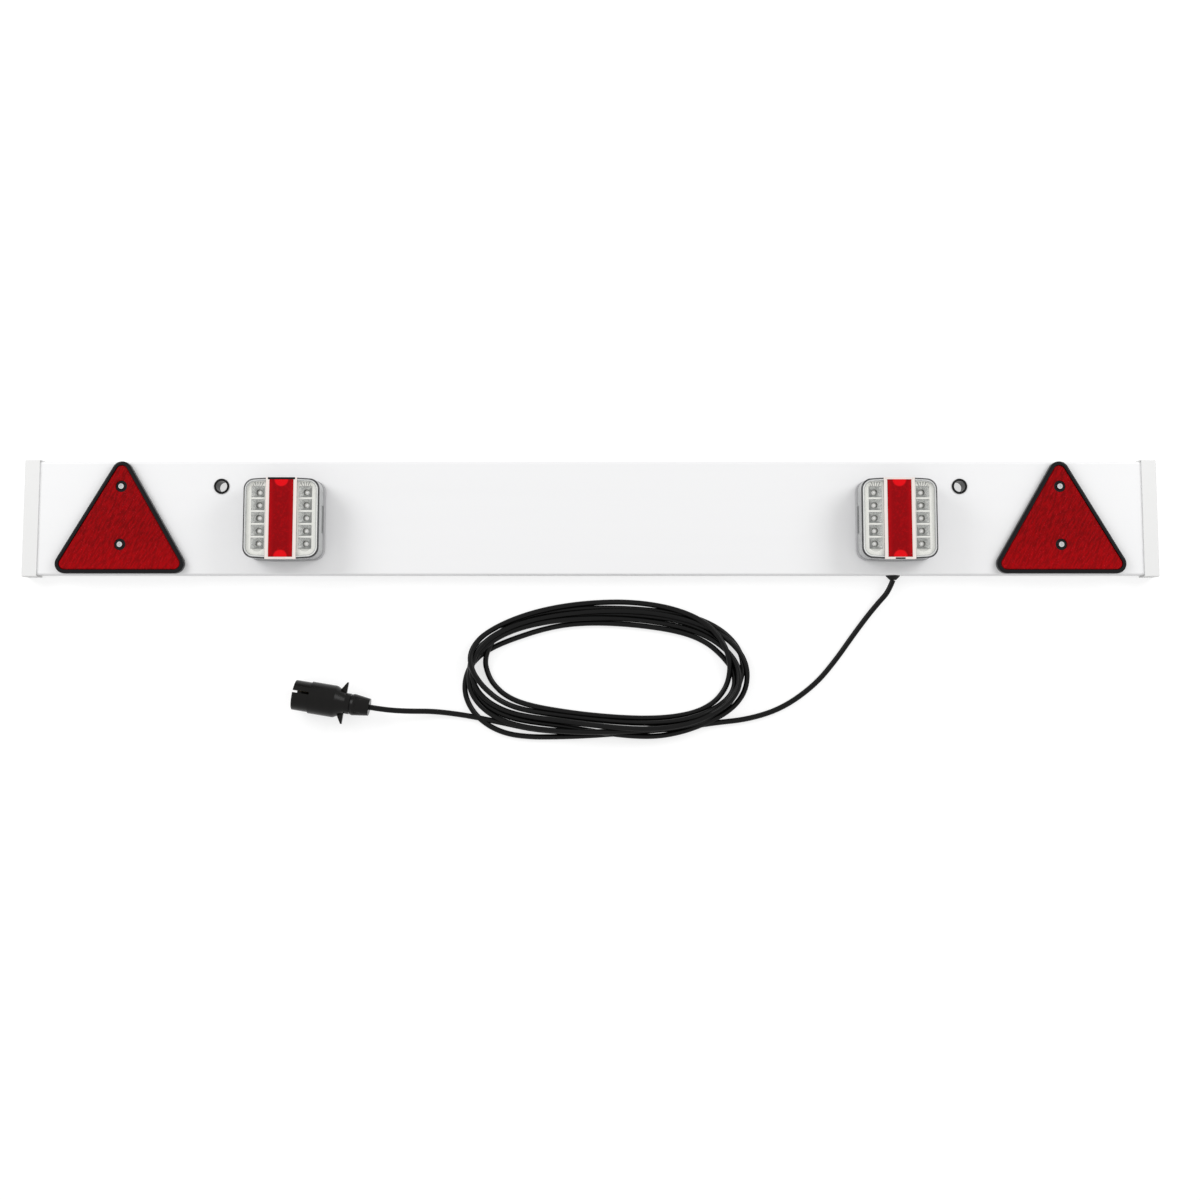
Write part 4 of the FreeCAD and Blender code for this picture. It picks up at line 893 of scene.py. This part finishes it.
@dataclass
class CellBlock:
    """The bright funnels round the lights of one lamp, in two columns.

    Each pair of the profile is a share of the depth and the squareness of the ring there.
    """

    side: Side
    width: float = 15.6 * MM
    height: float = 13.1 * MM
    depth: float = 10.5 * MM
    throat: float = 3.0 * MM
    below_tray_top: float = 0.3 * MM
    steps: int = 32
    taper: float = 1.25
    profile: tuple[Span, ...] = ((0.0, 9.0), (0.12, 6.0), (0.45, 3.4), (0.8, 2.4), (1.0, 2.0))

    def ring(self, mesh: bmesh.types.BMesh, centre: Vector, reach: Span, squareness: float) -> list:
        """Add one ring of a funnel: a circle drawn out towards a rectangle.

        Args:
            mesh: The mesh to add it to.
            centre: The ring's middle.
            reach: Half its width and half its height.
            squareness: Two is an ellipse, and a larger number a squarer ring.

        Returns:
            The ring's edges.
        """
        made = bmesh.ops.create_circle(mesh, segments=self.steps, radius=1.0)
        for vertex in made["verts"]:
            across, up = vertex.co.x, vertex.co.y
            power = 2 / squareness
            vertex.co.x = centre.x + reach[0] * math.copysign(abs(across) ** power, across)
            vertex.co.y = centre.y + reach[1] * math.copysign(abs(up) ** power, up)
            vertex.co.z = centre.z
        return list({edge for vertex in made["verts"] for edge in vertex.link_edges})

    def funnel(self, mesh: bmesh.types.BMesh, centre: Vector) -> None:
        """Add one funnel, open at its rim and at its throat.

        Args:
            mesh: The mesh to add it to.
            centre: The middle of its rim.
        """
        rings = []
        for share, squareness in self.profile:
            narrowing = (1 - share) ** self.taper
            reach = (
                self.throat + (self.width / 2 - self.throat) * narrowing,
                self.throat + (self.height / 2 - self.throat) * narrowing,
            )
            sunk = centre - Vector((0, 0, self.depth * share))
            rings.append(self.ring(mesh, sunk, reach, squareness))
        for upper, lower in zip(rings, rings[1:]):
            bmesh.ops.bridge_loops(mesh, edges=upper + lower)

    def build(self) -> bpy.types.Object:
        """Build the funnels of both columns as one piece.

        Returns:
            The new piece.
        """
        tray = f"lamp_tray_{self.side.word}"
        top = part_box(tray)[1][2]
        middle = box_middle(tray)
        mesh = bmesh.new()
        for column in (-1, 1):
            for row in range(GRID.rows):
                across = middle.x + column * GRID.column_offset
                centre = Vector((across, middle.y + GRID.rise(row), top - self.below_tray_top))
                self.funnel(mesh, centre)
        bmesh.ops.recalc_face_normals(mesh, faces=mesh.faces)
        if mesh.faces[0].normal.z < 0:
            bmesh.ops.reverse_faces(mesh, faces=mesh.faces)
        return add_piece(
            f"lamp_cells_{self.side.word}",
            mesh,
            BrightCell("bright_cells").material(self.side, top, self.depth),
        )


@dataclass
class Lamp:
    """One rear lamp: base, circuit, lights, tray, cells, strip and clear front."""

    side: Side

    def dress(self) -> None:
        """Give each of its nodes a finish."""
        word = self.side.word
        base = LAMP_BASE.material()
        paint(f"lamp_gasket_{word}", GASKET_FOAM.material())
        paint(f"lamp_base_{word}", base)
        paint(f"lamp_screws_{word}", SCREW_STEEL.material())
        paint(f"lamp_circuit_board_{word}", Circuit(f"circuit_green_{word}").material())
        paint(f"lamp_leds_{word}", LED_DOME.material())
        tray = f"lamp_tray_{word}"
        paint(tray, CellTray(f"cream_tray_{word}").material(box_middle(tray)))
        edge = STRIP_EDGE.material()
        paint(f"lamp_strip_frame_{word}", edge)
        reflex = f"lamp_reflex_{word}"
        paint(reflex, StripRed(f"strip_red_{word}").material(box_middle(reflex)))
        black = BLACK_PLASTIC.material()
        is_left = self.side is Side.LEFT
        paint(f"lamp_top_bar_{word}", black if is_left else edge)
        paint(f"lamp_vent_plug_{word}", edge if is_left else black)
        low, high = (Vector(corner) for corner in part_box(f"lamp_lens_{word}"))
        paint(f"lamp_lens_{word}", ClearFront("clear_lamp_front").material((low, high), self.side))

    def build(self) -> None:
        """Build what the nodes leave to the mesh."""
        CellBlock(self.side).build()


@dataclass
class LooseCable:
    """The free cable: from the board's edge, through the coil, to the plug.

    The coil is measured from an oval, in millimetres. Each row of turns says how far outside
    the oval the cable lies, every 30 degrees and clockwise from the lower right. The oval's
    squareness is given for each quarter, anticlockwise from the upper right.
    """

    diameter: float = 6.5 * MM
    coil_middle: Span = (19.0, -183.0)
    reach: Span = (158.5, 66.8)
    squareness: tuple[float, ...] = (2.05, 2.1, 2.35, 2.35)
    table_start: float = -45.0
    table_step: float = 30.0
    first_angle: float = -60.0
    last_angle: float = -2292.0
    fine_step: float = 2.0
    every: int = 6
    resting: float = 3.4
    contact: float = 5.6
    near_by: int = 8
    steepest: float = 0.75
    smoothing_reach: int = 2
    smoothing_passes: int = 2
    sides: int = 5
    fineness: int = 6
    lay_order: tuple[int, ...] = (6, 0, 4, 2, 5, 3, 1)
    turns: tuple[tuple[float, ...], ...] = (
        (14.0, 7.5, 14.8, 26.0, 19.2, -1.0, -10.2, -8.8, -10.8, -8.8, -10.8, 1.0),
        (2.0, -1.0, -9.8, -7.5, -6.2, 11.0, 11.5, 13.8, 16.5, 12.0, -6.5, -9.3),
        (-3.0, -7.0, -15.0, -15.3, -17.5, -8.5, 8.0, 8.5, 8.8, 13.3, 10.0, 3.5),
        (7.0, 5.5, -4.0, 0.5, 2.8, 4.5, 4.5, 3.5, 6.0, 7.5, 9.0, 14.0),
        (13.2, 15.0, 2.0, 6.3, 6.5, 7.0, 2.0, 0.5, 2.0, 3.5, -3.0, 5.0),
        (9.8, 6.5, 8.0, 12.5, 10.7, 1.5, -0.5, -3.0, -4.0, -2.5, -2.2, 5.0),
        (6.0, 5.5, 9.0, 14.0, 16.0),
    )
    board_run: tuple[Point, ...] = (
        (365.8, -74.4, 10.0),
        (360.6, -88.2, 9.0),
        (349.0, -101.0, 6.6),
        (334.5, -118.5, 4.4),
        (316.5, -142.5, 3.4),
        (296.0, -171.0, 3.4),
        (271.0, -200.5, 3.4),
        (232.0, -228.3, 3.4),
        (190.0, -241.8, 3.4),
        (148.0, -246.0, 3.4),
    )
    plug_run: tuple[Point, ...] = (
        (-136.0, -239.6, 3.4),
        (-161.0, -235.4, 3.4),
        (-190.0, -232.0, 6.2),
        (-217.0, -231.9, 13.2),
        (-244.40, -230.20, 19.1),
        (-264.13, -226.93, 19.1),
    )

    def oval(self, angle: float) -> Vector:
        """Find the point of the oval at an angle.

        Args:
            angle: The angle in degrees, counted from the right and upwards.

        Returns:
            The point, seen from above.
        """
        power = 2 / self.squareness[math.floor(angle % 360 / 90)]
        parts = (math.cos(math.radians(angle)), math.sin(math.radians(angle)))
        reached = [reach * math.copysign(abs(part) ** power, part) for reach, part in zip(self.reach, parts)]
        return Vector(self.coil_middle) + Vector(reached)

    def offset(self, angle: float) -> float:
        """Read from the table, smoothly, how far outside the oval the cable lies.

        Args:
            angle: The angle in degrees, which goes on past a full turn.

        Returns:
            The distance outwards.
        """
        table = [value for turn in self.turns for value in turn]
        place = (self.table_start - angle) / self.table_step
        index = math.floor(place)
        share = place - index
        near = [table[min(max(index + hop, 0), len(table) - 1)] for hop in (-1, 0, 1, 2)]
        before, start, end, after = near
        leaving, arriving = (end - before) / 2, (after - start) / 2
        bend = 2 * (start - end) + leaving + arriving
        sag = 3 * (end - start) - 2 * leaving - arriving
        return start + share * (leaving + share * (sag + share * bend))

    def plan(self, angle: float) -> Vector:
        """Find where the cable lies at an angle, seen from above."""
        along = self.oval(angle + self.fine_step) - self.oval(angle - self.fine_step)
        outwards = Vector((along.y, -along.x)).normalized()
        return self.oval(angle) + self.offset(angle) * outwards

    def eased(self, rise: list[float], own: list[int]) -> None:
        """Turn the steps of one turn's heights into long low humps.

        Args:
            rise: The heights of all points; those of the turn are changed.
            own: The places of the turn's points.
        """
        last = len(rise) - 1
        for order, back in ((own, -1), (own[::-1], 1)):
            for index in order:
                neighbour = min(max(index + back, 0), last)
                rise[index] = max(rise[index], rise[neighbour] - self.steepest)
        hop = self.smoothing_reach
        for _ in range(self.smoothing_passes):
            window = {index: rise[max(0, index - hop) : index + hop + 1] for index in own}
            for index, values in window.items():
                rise[index] = sum(values) / len(values)

    def heights(self, points: list[Vector], numbers: list[int]) -> list[float]:
        """Lay the turns on one another, the lowest first.

        Args:
            points: The cable's points, seen from above.
            numbers: The turn that each point is in.

        Returns:
            How high the cable's middle lies at each point.
        """
        rise = [self.resting] * len(points)
        laid: list[int] = []
        for number in self.lay_order:
            own = [index for index, turn in enumerate(numbers) if turn == number]
            for index in own:
                for other in laid:
                    apart = (points[index] - points[other]).length
                    if apart < self.contact and abs(index - other) > self.near_by:
                        over = rise[other] + math.sqrt(self.contact**2 - apart**2)
                        rise[index] = max(rise[index], over)
            self.eased(rise, own)
            laid += own
        return rise

    def coil(self) -> list[Point]:
        """Work out the coil's points, thirty to a turn.

        Returns:
            The points, in millimetres, from the board's end to the plug's.
        """
        count = int((self.first_angle - self.last_angle) / self.fine_step) + 1
        angles = [self.first_angle - index * self.fine_step for index in range(count)]
        points = [self.plan(angle) for angle in angles]
        numbers = [int((self.table_start - angle) // 360) for angle in angles]
        rise = self.heights(points, numbers)
        LOG.info("the coil is %.1f mm high", max(rise) + self.resting)
        return [(*points[index], rise[index]) for index in range(0, count, self.every)]

    def build(self) -> bpy.types.Object:
        """Returns:
            The cable's curve.
        """
        route = [Vector(point) * MM for point in (*self.board_run, *self.coil(), *self.plug_run)]
        curve = bpy.data.curves.new("loose_cable", "CURVE")
        curve.dimensions = "3D"
        curve.bevel_depth = self.diameter / 2
        curve.bevel_resolution = self.sides
        curve.resolution_u = self.fineness
        curve.use_fill_caps = True
        spline = curve.splines.new("NURBS")
        spline.points.add(len(route) - 1)
        for point, place in zip(spline.points, route):
            point.co = (*place, 1.0)
        spline.order_u = 3
        spline.use_endpoint_u = True
        curve.materials.append(CABLE_JACKET.material())
        cable = bpy.data.objects.new("loose_cable", curve)
        bpy.context.scene.collection.objects.link(cable)
        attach(cable, ROOT)
        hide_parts("cable_board_run", "cable_coil", "cable_plug_run")
        LOG.info("loose_cable has %d points", len(route))
        return cable


@dataclass
class Plug:
    """The seven-pin plug on the cable's far end."""

    def dress(self) -> None:
        """Give each of its nodes a finish."""
        plastic, rubber = PLUG_PLASTIC.material(), BLACK_RUBBER.material()
        for node in ("plug_shell", "plug_insert", "plug_nut"):
            paint(node, plastic)
        paint("plug_seal", rubber)
        paint("plug_contacts", CONTACT_BRASS.material())
        paint("plug_cable_end", CABLE_JACKET.material())


def seen_ray(tree: bpy.types.NodeTree) -> Socket:
    """Tell camera, glossy and transmission rays from the rest.

    Args:
        tree: The node tree to add to.

    Returns:
        One for such a ray, and nought for another.
    """
    path = tree.nodes.new("ShaderNodeLightPath")
    seen = path.outputs["Is Camera Ray"]
    for name in ("Is Glossy Ray", "Is Transmission Ray"):
        step = tree.nodes.new("ShaderNodeMath")
        step.operation = "MAXIMUM"
        tree.links.new(seen, step.inputs[0])
        tree.links.new(path.outputs[name], step.inputs[1])
        seen = step.outputs[0]
    return seen


@dataclass
class Studio:
    """Pale floor, soft light and the camera."""

    floor_reach: float = 12.0
    floor_drop: float = 0.3 * MM
    floor_grey: float = 0.42
    floor_glow: float = 0.66
    world_level: float = 0.75
    lamp_power: float = 15.0
    lamp_size: float = 1.2
    lamp_place: Point = (1.6, 0.9, 1.3)
    camera_place: Point = (0.0114, -0.1706, 1.919)
    camera_tilt: float = math.radians(5.5)
    camera_lens: float = 47.34
    camera_sensor: float = 36.0
    camera_shift: float = -0.0767

    def build_floor(self) -> None:
        """Build the white floor, which keeps the object's shadow."""
        mesh = bmesh.new()
        bmesh.ops.create_grid(mesh, x_segments=1, y_segments=1, size=self.floor_reach)
        bmesh.ops.translate(mesh, verts=mesh.verts, vec=(0, 0, -self.floor_drop))
        data = bpy.data.meshes.new("floor")
        mesh.to_mesh(data)
        mesh.free()
        floor = bpy.data.objects.new("floor", data)
        bpy.context.scene.collection.objects.link(floor)
        shader = Shader("floor_white")
        shader.give("Base Color", (self.floor_grey, self.floor_grey, self.floor_grey, 1.0))
        shader.give("Roughness", 1.0)
        shader.give("Specular IOR Level", 0.0)
        shader.give("Emission Color", WHITE)
        shader.give("Emission Strength", shader.math("MULTIPLY", seen_ray(shader.tree), self.floor_glow))
        data.materials.append(shader.material)

    def build_world(self) -> None:
        """Light the object from all round, on white."""
        world = bpy.data.worlds.new("studio")
        bpy.context.scene.world = world
        world.use_nodes = True
        tree = world.node_tree
        level = tree.nodes.new("ShaderNodeMapRange")
        level.inputs["To Min"].default_value = self.world_level
        level.inputs["To Max"].default_value = 1.0
        tree.links.new(seen_ray(tree), level.inputs["Value"])
        background = tree.nodes["Background"]
        background.inputs["Color"].default_value = WHITE
        tree.links.new(level.outputs["Result"], background.inputs["Strength"])

    def build_lamps(self) -> None:
        """Add two large soft lamps, above the far corners."""
        for side in Side:
            light = bpy.data.lights.new(f"soft_lamp_{side.word}", "AREA")
            light.energy = self.lamp_power
            light.shape = "DISK"
            light.size = self.lamp_size
            lamp = bpy.data.objects.new(light.name, light)
            lamp.location = (side.value * self.lamp_place[0], *self.lamp_place[1:])
            lamp.rotation_euler = Vector(lamp.location).to_track_quat("Z", "Y").to_euler()
            bpy.context.scene.collection.objects.link(lamp)

    def build_camera(self) -> None:
        """Add the camera at the photograph's viewing angle."""
        data = bpy.data.cameras.new("camera")
        data.lens = self.camera_lens
        data.sensor_width = self.camera_sensor
        data.shift_y = self.camera_shift
        camera = bpy.data.objects.new("camera", data)
        camera.location = self.camera_place
        camera.rotation_euler = (self.camera_tilt, 0, 0)
        bpy.context.scene.collection.objects.link(camera)
        bpy.context.scene.camera = camera

    def build(self) -> None:
        """Build the whole studio."""
        self.build_floor()
        self.build_world()
        self.build_lamps()
        self.build_camera()
        bpy.context.scene.view_settings.view_transform = "Standard"


def main() -> None:
    """Build and dress everything."""
    logging.basicConfig(level=logging.INFO, format="%(message)s")
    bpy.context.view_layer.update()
    Studio().build()
    LooseCable().build()
    BoardBody().dress()
    Plug().dress()
    for side in Side:
        Reflector(side).dress()
        lamp = Lamp(side)
        lamp.build()
        lamp.dress()


if __name__ == "__main__":
    main()
